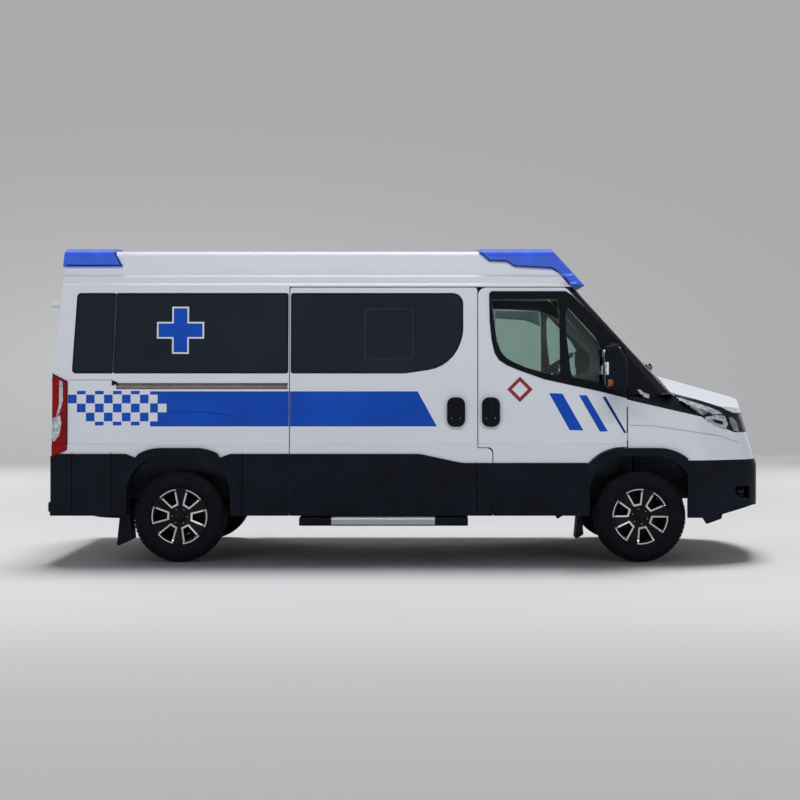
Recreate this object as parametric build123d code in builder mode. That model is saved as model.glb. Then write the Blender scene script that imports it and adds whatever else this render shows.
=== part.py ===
from build123d import *
import os

os.makedirs("parts", exist_ok=True)

# Ambulance on a panel van with a high roof, in millimetres.
# +X is forward, +Y is the vehicle's left and +Z is up. The origin is on the ground,
# under the middle of the vehicle.

# Axles and wheels
FRONT_AXLE_X = 1740.0
REAR_AXLE_X = -1780.0
TRACK = 1720.0
TYRE_RADIUS = 350.0
TYRE_WIDTH = 225.0
TYRE_SHOULDER = 22.0
RIM_SEAT_RADIUS = 203.0
RIM_LIP_RADIUS = 216.0
RIM_WIDTH = 170.0
RIM_WALL = 7.0
RIM_FACE_THICKNESS = 16.0
SPOKE_COUNT = 6
WINDOW_INNER_RADIUS = 95.0
WINDOW_OUTER_RADIUS = 190.0
WINDOW_INNER_WIDTH = 40.0
WINDOW_OUTER_WIDTH = 108.0
WINDOW_CORNER = 7.0
WINDOW_TURN = {"front": 42.5, "rear": 57.0}
HUB_RADIUS = 62.0
STUB_RADIUS = 30.0
BEARING_CLEARANCE = 0.3
DISC_RADIUS = 150.0
DISC_THICKNESS = 26.0
KINGPIN_Y = TRACK / 2 - 90

# Body
BODY_HALF_WIDTH = 1003.0
REAR_FACE_X = -2735.0
REAR_TOP_X = -2662.0
ROOF_Z = 2425.0
WALL = 60.0
NOSE_WALL = 35.0
SILL_Z = 362.0
SHUT_GAP = 7.0
SEAT_GAP = 0.3
CLADDING_THICKNESS = 14.0
FLARE_THICKNESS = 22.0
GLASS_THICKNESS = 5.0
GLASS_INSET = 1.0
GLASS_FLANGE = 30.0
WIDE = BODY_HALF_WIDTH + 197
PANEL_DEPTH_Y = BODY_HALF_WIDTH - 303

# Windscreen, which leans back along this slope
SCREEN_BASE_X = 1966.0
SCREEN_BASE_Z = 1457.0
SCREEN_LEAN = 0.924
SCREEN_CORNER_X = 1823.0
SCREEN_CORNER_Y = BODY_HALF_WIDTH - 98
SCREEN_TOP_Z = ROOF_Z - 278
COWL_LOW_Z = 1290.0

# Nose, from behind the front door's edge to the bumper
NOSE_REAR_X = 1642.0
NOSE_FRONT_X = 2786.0
NOSE_REFERENCE_Z = 730.0
NOSE_LEAN = 0.30
BONNET_SLOPE = 0.28
FRONT_PANEL_Y = BODY_HALF_WIDTH - 443
BUMPER_TOP_Z = 782.0
BUMPER_REAR_X = 2095.0
BONNET_LIP_Z = 1135.0

# Shut lines on the sides
DOOR_TOP_Z = ROOF_Z - 322
SLIDER_REAR_X = -937.0
B_PILLAR_X = 498.0
DOOR_FRONT_X = 1635.0
DOOR_STEP_X = 612.0
DOOR_STEP_Z = 878.0
PILLAR_LOW_Z = 1610.0
PILLAR_TOP_X = 1175.0

# Dark window band
BAND_LOW_Z = 1448.0
BAND_TOP_Z = ROOF_Z - 372
BAND_REAR_X = -2573.0
BAND_SPLIT_X = -2268.0
BAND_SPLIT_GAP = 6.0

# Lower cladding
CLADDING_REAR_TOP_Z = 832.0
CLADDING_DOOR_TOP_Z = 763.0
CLADDING_RISE_REAR_X = 56.0
CLADDING_RISE_FRONT_X = 376.0

# Wheel arches
ARCH_TOP_Z = 815.0
ARCH_HALF_WIDTH = 395.0
ARCH_RADIUS = 290.0
FLARE_TOP_Z = 877.0
FLARE_HALF_WIDTH = 474.0
FLARE_RADIUS = 340.0
LINER_THICKNESS = 8.0
LINER_INNER_Y = KINGPIN_Y - 230
WHEELHOUSE_INNER_Y = TRACK / 2 - 220

# Rear doors
REAR_DOOR_HALF_WIDTH = BODY_HALF_WIDTH - 125
REAR_DOOR_LOW_Z = 560.0
REAR_DOOR_TOP_Z = ROOF_Z - 210
REAR_DOOR_CURVE_Z = REAR_DOOR_TOP_Z - 315
REAR_HINGE_X = REAR_FACE_X - 20
REAR_HINGE_Y = BODY_HALF_WIDTH - 98

# Floor and chassis
FLOOR_TOP_Z = 700.0
FLOOR_THICKNESS = 30.0
CAB_FLOOR_TOP_Z = 790.0
FIREWALL_X = 1655.0
RAIL_Y = 400.0
RAIL_WIDTH = 70.0
RAIL_HEIGHT = 150.0
RAIL_TOP_Z = 600.0

SIDES = {"right": -1, "left": 1}
INNER_Y = BODY_HALF_WIDTH - WALL
SIDE_DEPTH_Y = BODY_HALF_WIDTH - 133


def face_on(plane, corners, inset=0.0):
    # Each corner is two coordinates on the plane and the radius that rounds it.
    with BuildSketch(plane) as sketch:
        with BuildLine():
            points = [(across, up) for across, up, radius in corners]
            FilletPolyline(*points, radius=[radius for across, up, radius in corners], close=True)
        make_face()
        if inset:
            offset(amount=-inset, kind=Kind.INTERSECTION)
    return sketch.sketch


def side_prism(corners, y_one, y_two):
    # A side outline of x, z and radius, as a solid between two places across the vehicle.
    low, high = sorted((y_one, y_two))
    with BuildPart() as prism:
        extrude(face_on(Plane.XZ.offset(-high), corners), amount=high - low, dir=(0, -1, 0))
    return prism.part


def front_prism(corners, x_one, x_two):
    # A front outline of y, z and radius, as a solid between two places along the vehicle.
    low, high = sorted((x_one, x_two))
    with BuildPart() as prism:
        extrude(face_on(Plane.YZ.offset(low), corners), amount=high - low, dir=(1, 0, 0))
    return prism.part


def block(x_low, x_high, y_low, y_high, z_low, z_high):
    with BuildPart() as solid:
        with Locations(((x_low + x_high) / 2, (y_low + y_high) / 2, (z_low + z_high) / 2)):
            Box(x_high - x_low, y_high - y_low, z_high - z_low)
    return solid.part


def finish(builder, name):
    builder.part.label = name
    export_step(builder.part, f"parts/{name}.step")


def mirrored(corners, flip_first, flip_second):
    # The right half's corners, then the left half's in reverse order, without those on the middle line.
    left = [(flip_first * first, flip_second * second, radius) for first, second, radius in reversed(corners)]
    return corners + [row for row in left if row not in corners]


def arch(axle_x, half_width, top_z, radius):
    # A wheel arch's outline: upright sides with a rounded top.
    return [
        (axle_x - half_width, -100, 0),
        (axle_x - half_width, top_z, radius),
        (axle_x + half_width, top_z, radius),
        (axle_x + half_width, -100, 0),
    ]


# Section of the cabin and load space, looking forward: sides that lean in above the belt
# line, three creases under the roof's edge, and a crowned roof.
CABIN_SECTION = [
    (-BODY_HALF_WIDTH, 200, 0),
    (-BODY_HALF_WIDTH, 898, 0),
    (-BODY_HALF_WIDTH + 14, 914, 0),
    (-BODY_HALF_WIDTH + 26, BAND_LOW_Z, 0),
    (-BODY_HALF_WIDTH + 62, ROOF_Z - 305, 0),
    (-BODY_HALF_WIDTH + 84, ROOF_Z - 287, 0),
    (-BODY_HALF_WIDTH + 92, ROOF_Z - 242, 0),
    (-BODY_HALF_WIDTH + 112, ROOF_Z - 225, 0),
    (-BODY_HALF_WIDTH + 124, ROOF_Z - 172, 0),
    (-BODY_HALF_WIDTH + 160, ROOF_Z - 42, 70),
    (0, ROOF_Z, 4000),
]

# Side outline of the cabin and load space, from the rear foot over the roof to the cowl.
CABIN_SIDE = [
    (REAR_FACE_X, 200, 0),
    (REAR_FACE_X, 1400, 900),
    (REAR_TOP_X, ROOF_Z - 135, 0),
    (REAR_TOP_X + 6, ROOF_Z, 60),
    (990, ROOF_Z + 2, 500),
    (1240, ROOF_Z - 105, 160),
    (SCREEN_BASE_X - SCREEN_LEAN * (SCREEN_TOP_Z - SCREEN_BASE_Z), SCREEN_TOP_Z, 0),
    (SCREEN_BASE_X + 9, SCREEN_BASE_Z - 10, 0),
    (SCREEN_BASE_X + 9, COWL_LOW_Z, 0),
    (DOOR_FRONT_X, COWL_LOW_Z, 0),
    (DOOR_FRONT_X, 200, 0),
]

# Plan of the cabin at the foot of the windscreen, which is an arc between the pillars.
CABIN_PLAN = [
    (-7000, -BODY_HALF_WIDTH - 5, 0),
    (SCREEN_CORNER_X - 115, -BODY_HALF_WIDTH - 5, 90),
    (SCREEN_CORNER_X, -SCREEN_CORNER_Y, 60),
    (SCREEN_BASE_X, 0, 2400),
]

# Section of the nose at the foot of the windscreen: upright wings, a shoulder and a crowned bonnet.
NOSE_SECTION = [
    (-BODY_HALF_WIDTH, 100, 0),
    (-BODY_HALF_WIDTH, 850, 0),
    (-BODY_HALF_WIDTH + 18, 1060, 0),
    (-BODY_HALF_WIDTH + 40, 1190, 70),
    (-BODY_HALF_WIDTH + 135, 1312, 110),
    (0, SCREEN_BASE_Z + 4, 2000),
]

# Side outline of the nose down its middle.
NOSE_SIDE = [
    (NOSE_REAR_X, 200, 0),
    (NOSE_REAR_X, SCREEN_BASE_Z + 120, 0),
    (SCREEN_BASE_X, SCREEN_BASE_Z + 6, 0),
    (2370, 1346, 900),
    (2625, 1236, 90),
    (2668, 1120, 60),
    (2715, 940, 200),
    (NOSE_FRONT_X, 800, 60),
    (NOSE_FRONT_X, 200, 0),
]

# Plan of the nose at the bumper's height.
NOSE_PLAN = [
    (1000, -BODY_HALF_WIDTH - 5, 0),
    (2215, -BODY_HALF_WIDTH - 5, 400),
    (2655, -BODY_HALF_WIDTH + 203, 260),
    (NOSE_FRONT_X + 34, 0, 2200),
]


def cabin_hull(inset):
    with BuildPart() as hull:
        section = face_on(Plane.YZ.offset(-3000), mirrored(CABIN_SECTION, -1, 1), inset)
        extrude(section, amount=6000, dir=(1, 0, 0))
        side = face_on(Plane.XZ.offset(-WIDE), CABIN_SIDE, inset)
        extrude(side, amount=2 * WIDE, dir=(0, -1, 0), mode=Mode.INTERSECT)
        plan = face_on(Plane.XY.offset(SCREEN_BASE_Z), mirrored(CABIN_PLAN, 1, -1), inset)
        extrude(plan, amount=2600, dir=(-SCREEN_LEAN, 0, 1), both=True, mode=Mode.INTERSECT)
    return hull.part


def nose_hull(inset):
    with BuildPart() as hull:
        section = face_on(Plane.YZ.offset(SCREEN_BASE_X), mirrored(NOSE_SECTION, -1, 1), inset)
        extrude(section, amount=1500, dir=(1, 0, -BONNET_SLOPE), both=True)
        # The inside runs on past the nose's rear, so that its skin is open there.
        opened = [(x - 2 * max(inset, 0) if x == NOSE_REAR_X else x, z, radius) for x, z, radius in NOSE_SIDE]
        side = face_on(Plane.XZ.offset(-WIDE), opened, inset)
        extrude(side, amount=2 * WIDE, dir=(0, -1, 0), mode=Mode.INTERSECT)
        plan = face_on(Plane.XY.offset(NOSE_REFERENCE_Z), mirrored(NOSE_PLAN, 1, -1), inset)
        extrude(plan, amount=1500, dir=(-NOSE_LEAN, 0, 1), both=True, mode=Mode.INTERSECT)
        # Below the reference height the bumper's front stands upright.
        extrude(plan, amount=1500, both=True, mode=Mode.INTERSECT)
    return hull.part


cabin = cabin_hull(0)
cabin_inside = cabin_hull(WALL)
with BuildPart() as cabin_shell:
    add(cabin)
    add(cabin_inside, mode=Mode.SUBTRACT)
    open_front = block(DOOR_FRONT_X - 2 * WALL, NOSE_REAR_X, -INNER_Y, INNER_Y, 100, COWL_LOW_Z + WALL)
    add(open_front, mode=Mode.SUBTRACT)

with BuildPart() as glass_shell:
    add(cabin_hull(GLASS_INSET))
    add(cabin_hull(GLASS_INSET + GLASS_THICKNESS), mode=Mode.SUBTRACT)

with BuildPart() as glass_recess:
    add(cabin)
    add(cabin_hull(GLASS_INSET + GLASS_THICKNESS), mode=Mode.SUBTRACT)

nose = nose_hull(0)
cabin_with_gap = cabin_hull(-SHUT_GAP)
with BuildPart() as nose_shell:
    add(nose)
    add(nose_hull(NOSE_WALL), mode=Mode.SUBTRACT)
    add(cabin_with_gap, mode=Mode.SUBTRACT)


# Doors on the sides

def slider_outline(gap):
    return [
        (SLIDER_REAR_X + gap, SILL_Z, 0),
        (SLIDER_REAR_X + gap, DOOR_TOP_Z - gap, 20),
        (B_PILLAR_X - gap, DOOR_TOP_Z - gap, 20),
        (B_PILLAR_X - gap, DOOR_STEP_Z - gap, 0),
        (DOOR_STEP_X - gap, DOOR_STEP_Z - gap, 45),
        (DOOR_STEP_X - gap, SILL_Z, 0),
    ]


def front_door_outline(gap):
    return [
        (DOOR_STEP_X + gap, SILL_Z, 0),
        (DOOR_STEP_X + gap, DOOR_STEP_Z + gap, 40),
        (B_PILLAR_X + gap, DOOR_STEP_Z + gap, 0),
        (B_PILLAR_X + gap, DOOR_TOP_Z - gap, 60),
        (PILLAR_TOP_X - gap, DOOR_TOP_Z - gap, 60),
        (DOOR_FRONT_X - gap, PILLAR_LOW_Z, 80),
        (DOOR_FRONT_X - gap, SILL_Z, 0),
    ]


# Hinges of the front doors, whose halves meet in the plane of the hinge's axis
DOOR_HINGE_LOW_Z = [930.0, 1190.0]
DOOR_HINGE_HEIGHT = 60.0
HINGE_HALF_GAP = 0.15


def hinge_y(sign):
    return sorted((sign * (BODY_HALF_WIDTH - 48), sign * (BODY_HALF_WIDTH - 28)))


# The dark glass has a corner cut by a long curve at the sliding door's front.
SLIDER_GLASS = [
    (SLIDER_REAR_X + 14, BAND_LOW_Z, 12),
    (SLIDER_REAR_X + 14, BAND_TOP_Z, 12),
    (383, BAND_TOP_Z, 78),
    (383, 1740, 330),
    (300, 1500, 300),
    (-60, BAND_LOW_Z, 420),
]

REAR_GLASS_PANES = [
    [
        (BAND_REAR_X - 18, BAND_LOW_Z, 25),
        (BAND_REAR_X + 18, BAND_TOP_Z, 25),
        (BAND_SPLIT_X + 11 - BAND_SPLIT_GAP, BAND_TOP_Z, 4),
        (BAND_SPLIT_X - 11 - BAND_SPLIT_GAP, BAND_LOW_Z, 4),
    ],
    [
        (BAND_SPLIT_X - 11, BAND_LOW_Z, 4),
        (BAND_SPLIT_X + 11, BAND_TOP_Z, 4),
        (SLIDER_REAR_X - 14, BAND_TOP_Z, 12),
        (SLIDER_REAR_X - 14, BAND_LOW_Z, 12),
    ],
]

LEFT_GLASS = [
    (SLIDER_REAR_X + 14, BAND_LOW_Z, 12),
    (SLIDER_REAR_X + 14, BAND_TOP_Z, 12),
    (383, BAND_TOP_Z, 78),
    (383, BAND_LOW_Z, 120),
]

# The front door's glass falls towards the mirror, then follows the windscreen pillar.
DOOR_GLASS = [
    (602, BAND_TOP_Z - 13, 45),
    (602, 1760, 120),
    (660, 1555, 110),
    (830, 1462, 200),
    (1425, 1318, 200),
    (1580, 1300, 40),
    (1580, 1620, 60),
    (1165, BAND_TOP_Z - 13, 60),
]


def glazing_cuts(corners, sign):
    # A shallow recess that takes the pane, and a way through with a flange all round it.
    with BuildPart() as cuts:
        add(glass_recess.part)
        add(side_prism(corners, sign * PANEL_DEPTH_Y, sign * WIDE), mode=Mode.INTERSECT)
        opening = face_on(Plane.XZ.offset(-sign * PANEL_DEPTH_Y), corners, GLASS_FLANGE)
        extrude(opening, amount=WIDE - PANEL_DEPTH_Y, dir=(0, sign, 0))
    return cuts.part


def pane(corners, sign):
    with BuildPart() as glass:
        add(glass_shell.part)
        add(side_prism(corners, sign * PANEL_DEPTH_Y, sign * WIDE), mode=Mode.INTERSECT)
    return glass.part


with BuildPart() as sliding_door:
    add(cabin_shell.part)
    add(side_prism(slider_outline(SHUT_GAP / 2), -PANEL_DEPTH_Y, -WIDE), mode=Mode.INTERSECT)
    add(glazing_cuts(SLIDER_GLASS, -1), mode=Mode.SUBTRACT)
finish(sliding_door, "sliding_door")

for side, sign in SIDES.items():
    with BuildPart() as front_door:
        add(cabin_shell.part)
        outline = side_prism(front_door_outline(SHUT_GAP / 2), sign * (SIDE_DEPTH_Y - 10), sign * WIDE)
        add(outline, mode=Mode.INTERSECT)
        flare_clear = arch(FRONT_AXLE_X, FLARE_HALF_WIDTH + SHUT_GAP, FLARE_TOP_Z + SHUT_GAP, FLARE_RADIUS)
        add(side_prism(flare_clear, sign * PANEL_DEPTH_Y, sign * WIDE), mode=Mode.SUBTRACT)
        add(glazing_cuts(DOOR_GLASS, sign), mode=Mode.SUBTRACT)
        for low in DOOR_HINGE_LOW_Z:
            top = low + DOOR_HINGE_HEIGHT
            add(block(DOOR_FRONT_X - 15, DOOR_FRONT_X - HINGE_HALF_GAP, *hinge_y(sign), low, top))
    finish(front_door, f"front_door_{side}")

    with BuildPart() as front_door_glass:
        add(pane(DOOR_GLASS, sign))
    finish(front_door_glass, f"front_door_glass_{side}")

# Hinges of the rear doors: each has a door leaf above and a body leaf below on one pin line
REAR_HINGE_LOW_Z = [900.0, 1350.0, 1930.0]
REAR_LEAF_HEIGHT = 34.0
REAR_KNUCKLE_RADIUS = 9.0
REAR_LEAF_HALF = 7.0


def rear_hinge(sign, leaf_end_y, level):
    # Level 0 is the door's leaf and level 1 the body's leaf over it.
    with BuildPart() as leaves:
        for low in REAR_HINGE_LOW_Z:
            base = low + level * (REAR_LEAF_HEIGHT + SEAT_GAP)
            with BuildSketch(Plane.XY.offset(base)):
                with Locations((REAR_HINGE_X, sign * REAR_HINGE_Y)):
                    Circle(REAR_KNUCKLE_RADIUS)
            extrude(amount=REAR_LEAF_HEIGHT)
            reach = sorted((sign * REAR_HINGE_Y, sign * leaf_end_y))
            add(block(REAR_HINGE_X - REAR_LEAF_HALF, REAR_TOP_X + 10, *reach, base, base + REAR_LEAF_HEIGHT))
        add(cabin, mode=Mode.SUBTRACT)
    return leaves.part


# Fixed body panels

TOP_SPLIT_Z = DOOR_TOP_Z + SHUT_GAP / 2
HALF_GAP = SHUT_GAP / 2

rear_opening = [
    (-REAR_DOOR_HALF_WIDTH - SHUT_GAP, REAR_DOOR_LOW_Z - SHUT_GAP, 30),
    (-REAR_DOOR_HALF_WIDTH - SHUT_GAP, REAR_DOOR_CURVE_Z, 900),
    (-REAR_DOOR_HALF_WIDTH + 35, REAR_DOOR_TOP_Z + SHUT_GAP, 60),
]

with BuildPart() as roof:
    add(cabin_shell.part)
    add(block(-3000, 3000, -WIDE, WIDE, 0, TOP_SPLIT_Z), mode=Mode.SUBTRACT)
    add(front_prism(mirrored(rear_opening, -1, 1), -3000, REAR_TOP_X + 100), mode=Mode.SUBTRACT)
finish(roof, "roof")

right_wall_edge = [
    (SLIDER_REAR_X - HALF_GAP, TOP_SPLIT_Z, 0),
    (SLIDER_REAR_X - HALF_GAP, SILL_Z, 0),
]
left_wall_edge = [
    (B_PILLAR_X - HALF_GAP, TOP_SPLIT_Z, 0),
    (B_PILLAR_X - HALF_GAP, DOOR_STEP_Z - HALF_GAP, 0),
    (DOOR_STEP_X - HALF_GAP, DOOR_STEP_Z - HALF_GAP, 45),
    (DOOR_STEP_X - HALF_GAP, SILL_Z, 0),
]
rear_wall_edge = [(-3000, SILL_Z, 0), (-3000, TOP_SPLIT_Z, 0)]
WALL_GLASS = {"right": REAR_GLASS_PANES, "left": REAR_GLASS_PANES + [LEFT_GLASS]}
WALL_EDGE = {"right": right_wall_edge, "left": left_wall_edge}

TAIL_LAMP = [
    (-3000, 1448, 0),
    (-2744, 1444, 12),
    (-2626, 1384, 12),
    (-2626, 859, 12),
    (-2740, 813, 12),
    (-3000, 813, 0),
]
TAIL_LAMP_PROUD = 8.0
LAMP_INNER_Y = BODY_HALF_WIDTH - 61

GROOVE_REAR_X = -2262.0
GROOVE_FRONT_X = -950.0
GROOVE_LOW_Z = 1322.0
GROOVE_TOP_Z = 1372.0
GROOVE_DEPTH = 22.0
RAIL_PROUD = 12.0
RAIL_LEDGE = 14.0
groove_y = BODY_HALF_WIDTH - 26 - GROOVE_DEPTH

for side, sign in SIDES.items():
    with BuildPart() as side_wall:
        add(cabin_shell.part)
        outline = side_prism(rear_wall_edge + WALL_EDGE[side], sign * SIDE_DEPTH_Y, sign * WIDE)
        add(outline, mode=Mode.INTERSECT)
        add(front_prism(mirrored(rear_opening, -1, 1), -3000, REAR_TOP_X + 100), mode=Mode.SUBTRACT)
        arch_cut = arch(REAR_AXLE_X, ARCH_HALF_WIDTH, ARCH_TOP_Z, ARCH_RADIUS)
        add(side_prism(arch_cut, sign * PANEL_DEPTH_Y, sign * WIDE), mode=Mode.SUBTRACT)
        for corners in WALL_GLASS[side]:
            add(glazing_cuts(corners, sign), mode=Mode.SUBTRACT)
        add(side_prism(TAIL_LAMP, sign * LAMP_INNER_Y, sign * WIDE), mode=Mode.SUBTRACT)
        add(rear_hinge(sign, REAR_HINGE_Y + 30, 1))
        if side == "right":
            # Groove of the sliding door, with the rail that its carriage rolls on
            groove = block(GROOVE_REAR_X, GROOVE_FRONT_X, -WIDE, -groove_y, GROOVE_LOW_Z, GROOVE_TOP_Z)
            add(groove, mode=Mode.SUBTRACT)
            add(block(GROOVE_REAR_X - 1, GROOVE_FRONT_X + 1, -groove_y - RAIL_PROUD, -groove_y + 1,
                      GROOVE_LOW_Z + RAIL_LEDGE, GROOVE_LOW_Z + 2 * RAIL_LEDGE))
    finish(side_wall, f"side_wall_{side}")

tail_lamp_hull = cabin_hull(-TAIL_LAMP_PROUD)
with BuildPart() as tail_lamps:
    for sign in SIDES.values():
        with BuildPart(mode=Mode.PRIVATE) as lamp:
            add(tail_lamp_hull)
            add(cabin_inside, mode=Mode.SUBTRACT)
            add(side_prism(TAIL_LAMP, sign * LAMP_INNER_Y, sign * WIDE), mode=Mode.INTERSECT)
        add(lamp.part)
finish(tail_lamps, "tail_lamps")

with BuildPart() as side_glass:
    add(pane(SLIDER_GLASS, -1))
    for side, sign in SIDES.items():
        for corners in WALL_GLASS[side]:
            add(pane(corners, sign))
finish(side_glass, "side_glass")

with BuildPart() as rear_sill:
    add(cabin_shell.part)
    below_doors = REAR_DOOR_LOW_Z - SHUT_GAP
    strip = block(-3000, REAR_FACE_X + WALL, -SIDE_DEPTH_Y, SIDE_DEPTH_Y, SILL_Z, below_doors)
    add(strip, mode=Mode.INTERSECT)
finish(rear_sill, "rear_sill")

WINDSCREEN = [(-BODY_HALF_WIDTH + 213, SCREEN_BASE_Z + 43, 70), (-BODY_HALF_WIDTH + 258, ROOF_Z - 355, 70)]

with BuildPart() as screen_cut:
    add(glass_recess.part)
    add(front_prism(mirrored(WINDSCREEN, -1, 1), 1100, 2100), mode=Mode.INTERSECT)
    opening_face = face_on(Plane.YZ.offset(1100), mirrored(WINDSCREEN, -1, 1), GLASS_FLANGE)
    extrude(opening_face, amount=1000, dir=(1, 0, 0))

with BuildPart() as windscreen_frame:
    add(cabin_shell.part)
    add(block(1100, 2100, -WIDE, WIDE, COWL_LOW_Z, TOP_SPLIT_Z), mode=Mode.INTERSECT)
    add(side_prism(front_door_outline(-HALF_GAP), -WIDE, WIDE), mode=Mode.SUBTRACT)
    add(screen_cut.part, mode=Mode.SUBTRACT)
    # Feet of the bonnet's hinges, just behind its rear corners
    with BuildPart(mode=Mode.PRIVATE) as hinge_feet:
        add(cabin_hull(-SHUT_GAP + SEAT_GAP))
        add(cabin_hull(WALL / 2), mode=Mode.SUBTRACT)
    for sign in SIDES.values():
        foot_y = sorted((sign * (SCREEN_CORNER_Y - 105), sign * (SCREEN_CORNER_Y - 65)))
        add(hinge_feet.part & block(1890, 2000, *foot_y, 1292, 1345))
finish(windscreen_frame, "windscreen_frame")

with BuildPart() as windscreen:
    add(glass_shell.part)
    add(front_prism(mirrored(WINDSCREEN, -1, 1), 1100, 2100), mode=Mode.INTERSECT)
finish(windscreen, "windscreen")

# Nose: bonnet, wings, lamps, grille and bumper share one skin

BONNET_EDGE = [
    (1905, 1316),
    (1959, 1300),
    (2204, 1235),
    (2374, 1181),
    (2477, BONNET_LIP_Z),
    (3000, BONNET_LIP_Z),
]
HEADLAMP = [
    (1990, 1286, 0),
    (2204, 1235 - HALF_GAP, 0),
    (2374, 1181 - HALF_GAP, 0),
    (2477, BONNET_LIP_Z - HALF_GAP, 0),
    (3000, BONNET_LIP_Z - HALF_GAP, 0),
    (3000, 985, 0),
    (2476, 990, 60),
    (2339, 1048, 60),
    (2255, 1075, 30),
    (2187, 1132, 30),
]

with BuildPart() as bonnet:
    add(nose_shell.part)
    above = [(3000, 1800, 0), (1700, 1800, 0), (1700, 1316, 0)]
    outline = [(x, z + HALF_GAP, 0) for x, z in BONNET_EDGE] + above
    add(side_prism(outline, -WIDE, WIDE), mode=Mode.INTERSECT)
finish(bonnet, "bonnet")

lower_edge = [(x, z - HALF_GAP, 0) for x, z in BONNET_EDGE]
wing_outline = [
    (NOSE_REAR_X, SILL_Z, 0),
    (NOSE_REAR_X, COWL_LOW_Z - SHUT_GAP, 0),
    *lower_edge,
    (3000, BUMPER_TOP_Z, 0),
    (BUMPER_REAR_X, BUMPER_TOP_Z, 0),
    (BUMPER_REAR_X, SILL_Z, 0),
]
front_arch = arch(FRONT_AXLE_X, ARCH_HALF_WIDTH, ARCH_TOP_Z, ARCH_RADIUS)
front_flare = arch(FRONT_AXLE_X, FLARE_HALF_WIDTH, FLARE_TOP_Z, FLARE_RADIUS)

with BuildPart() as front_wings:
    for sign in SIDES.values():
        with BuildPart(mode=Mode.PRIVATE) as wing:
            add(nose_shell.part)
            add(side_prism(wing_outline, sign * FRONT_PANEL_Y, sign * WIDE), mode=Mode.INTERSECT)
            add(side_prism(HEADLAMP, sign * FRONT_PANEL_Y, sign * WIDE), mode=Mode.SUBTRACT)
            with BuildPart(mode=Mode.PRIVATE) as surround:
                add(side_prism(front_flare, sign * (BODY_HALF_WIDTH - WALL), sign * BODY_HALF_WIDTH))
                add(block(1000, NOSE_REAR_X, -WIDE, WIDE, SILL_Z, 1000), mode=Mode.INTERSECT)
            add(surround.part)
            add(side_prism(front_arch, sign * PANEL_DEPTH_Y, sign * WIDE), mode=Mode.SUBTRACT)
            for low in DOOR_HINGE_LOW_Z:
                top = low + DOOR_HINGE_HEIGHT
                add(block(DOOR_FRONT_X + HINGE_HALF_GAP, NOSE_REAR_X + 15, *hinge_y(sign), low, top))
        add(wing.part)
finish(front_wings, "front_wings")

with BuildPart() as headlamps:
    for sign in SIDES.values():
        with BuildPart(mode=Mode.PRIVATE) as lamp:
            add(nose_shell.part)
            add(side_prism(HEADLAMP, sign * FRONT_PANEL_Y, sign * WIDE), mode=Mode.INTERSECT)
        add(lamp.part)
finish(headlamps, "headlamps")

SLOT_COUNT = 6
SLOT_HEIGHT = 24.0
SLOT_PITCH = 46.0
SLOT_HALF_WIDTH = FRONT_PANEL_Y - 90
SLOT_LOW_Z = 850.0

with BuildPart() as grille:
    add(nose_shell.part)
    add(block(2400, 3000, -FRONT_PANEL_Y, FRONT_PANEL_Y, BUMPER_TOP_Z, BONNET_LIP_Z - HALF_GAP),
        mode=Mode.INTERSECT)
    for row in range(SLOT_COUNT):
        low = SLOT_LOW_Z + row * SLOT_PITCH
        add(block(2400, 3000, -SLOT_HALF_WIDTH, SLOT_HALF_WIDTH, low, low + SLOT_HEIGHT), mode=Mode.SUBTRACT)
finish(grille, "grille")

BUMPER_FOOT = [
    (BUMPER_REAR_X, BUMPER_TOP_Z, 0),
    (BUMPER_REAR_X, 345, 0),
    (2210, 345, 0),
    (2240, 297, 0),
    (2362, 333, 0),
    (2372, 367, 0),
    (2621, 426, 40),
    (3000, 440, 0),
    (3000, BUMPER_TOP_Z, 0),
]
FOG_POCKET = [(2471, 576, 12), (2600, 576, 12), (2600, 476, 12), (2492, 505, 12)]
INTAKE_Y = FRONT_PANEL_Y - 130

with BuildPart() as front_bumper:
    add(nose_shell.part)
    add(side_prism(BUMPER_FOOT, -WIDE, WIDE), mode=Mode.INTERSECT)
    add(block(2500, 3000, -INTAKE_Y, INTAKE_Y, 500, 640), mode=Mode.SUBTRACT)
    for sign in SIDES.values():
        add(side_prism(FOG_POCKET, sign * PANEL_DEPTH_Y, sign * WIDE), mode=Mode.SUBTRACT)
finish(front_bumper, "front_bumper")

# Black lower cladding and arch flares on the fixed body

def slab(corners, sign, thickness):
    return side_prism(corners, sign * BODY_HALF_WIDTH, sign * (BODY_HALF_WIDTH + thickness))


REAR_CLADDING_X = -2632.0
rear_flare = arch(REAR_AXLE_X, FLARE_HALF_WIDTH, FLARE_TOP_Z, FLARE_RADIUS)
rear_arch = arch(REAR_AXLE_X, ARCH_HALF_WIDTH, ARCH_TOP_Z, ARCH_RADIUS)
slider_cladding = [
    (SLIDER_REAR_X + HALF_GAP, SILL_Z, 0),
    (SLIDER_REAR_X + HALF_GAP, CLADDING_REAR_TOP_Z, 0),
    (CLADDING_RISE_REAR_X, CLADDING_REAR_TOP_Z, 300),
    (CLADDING_RISE_FRONT_X, CLADDING_DOOR_TOP_Z, 300),
    (B_PILLAR_X - HALF_GAP, CLADDING_DOOR_TOP_Z, 0),
    (DOOR_STEP_X - HALF_GAP, CLADDING_DOOR_TOP_Z, 0),
    (DOOR_STEP_X - HALF_GAP, SILL_Z, 0),
]
front_door_cladding = [
    (DOOR_STEP_X + HALF_GAP, SILL_Z, 0),
    (DOOR_STEP_X + HALF_GAP, CLADDING_DOOR_TOP_Z, 0),
    (DOOR_FRONT_X - HALF_GAP, CLADDING_DOOR_TOP_Z, 0),
    (DOOR_FRONT_X - HALF_GAP, SILL_Z, 0),
]
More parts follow.
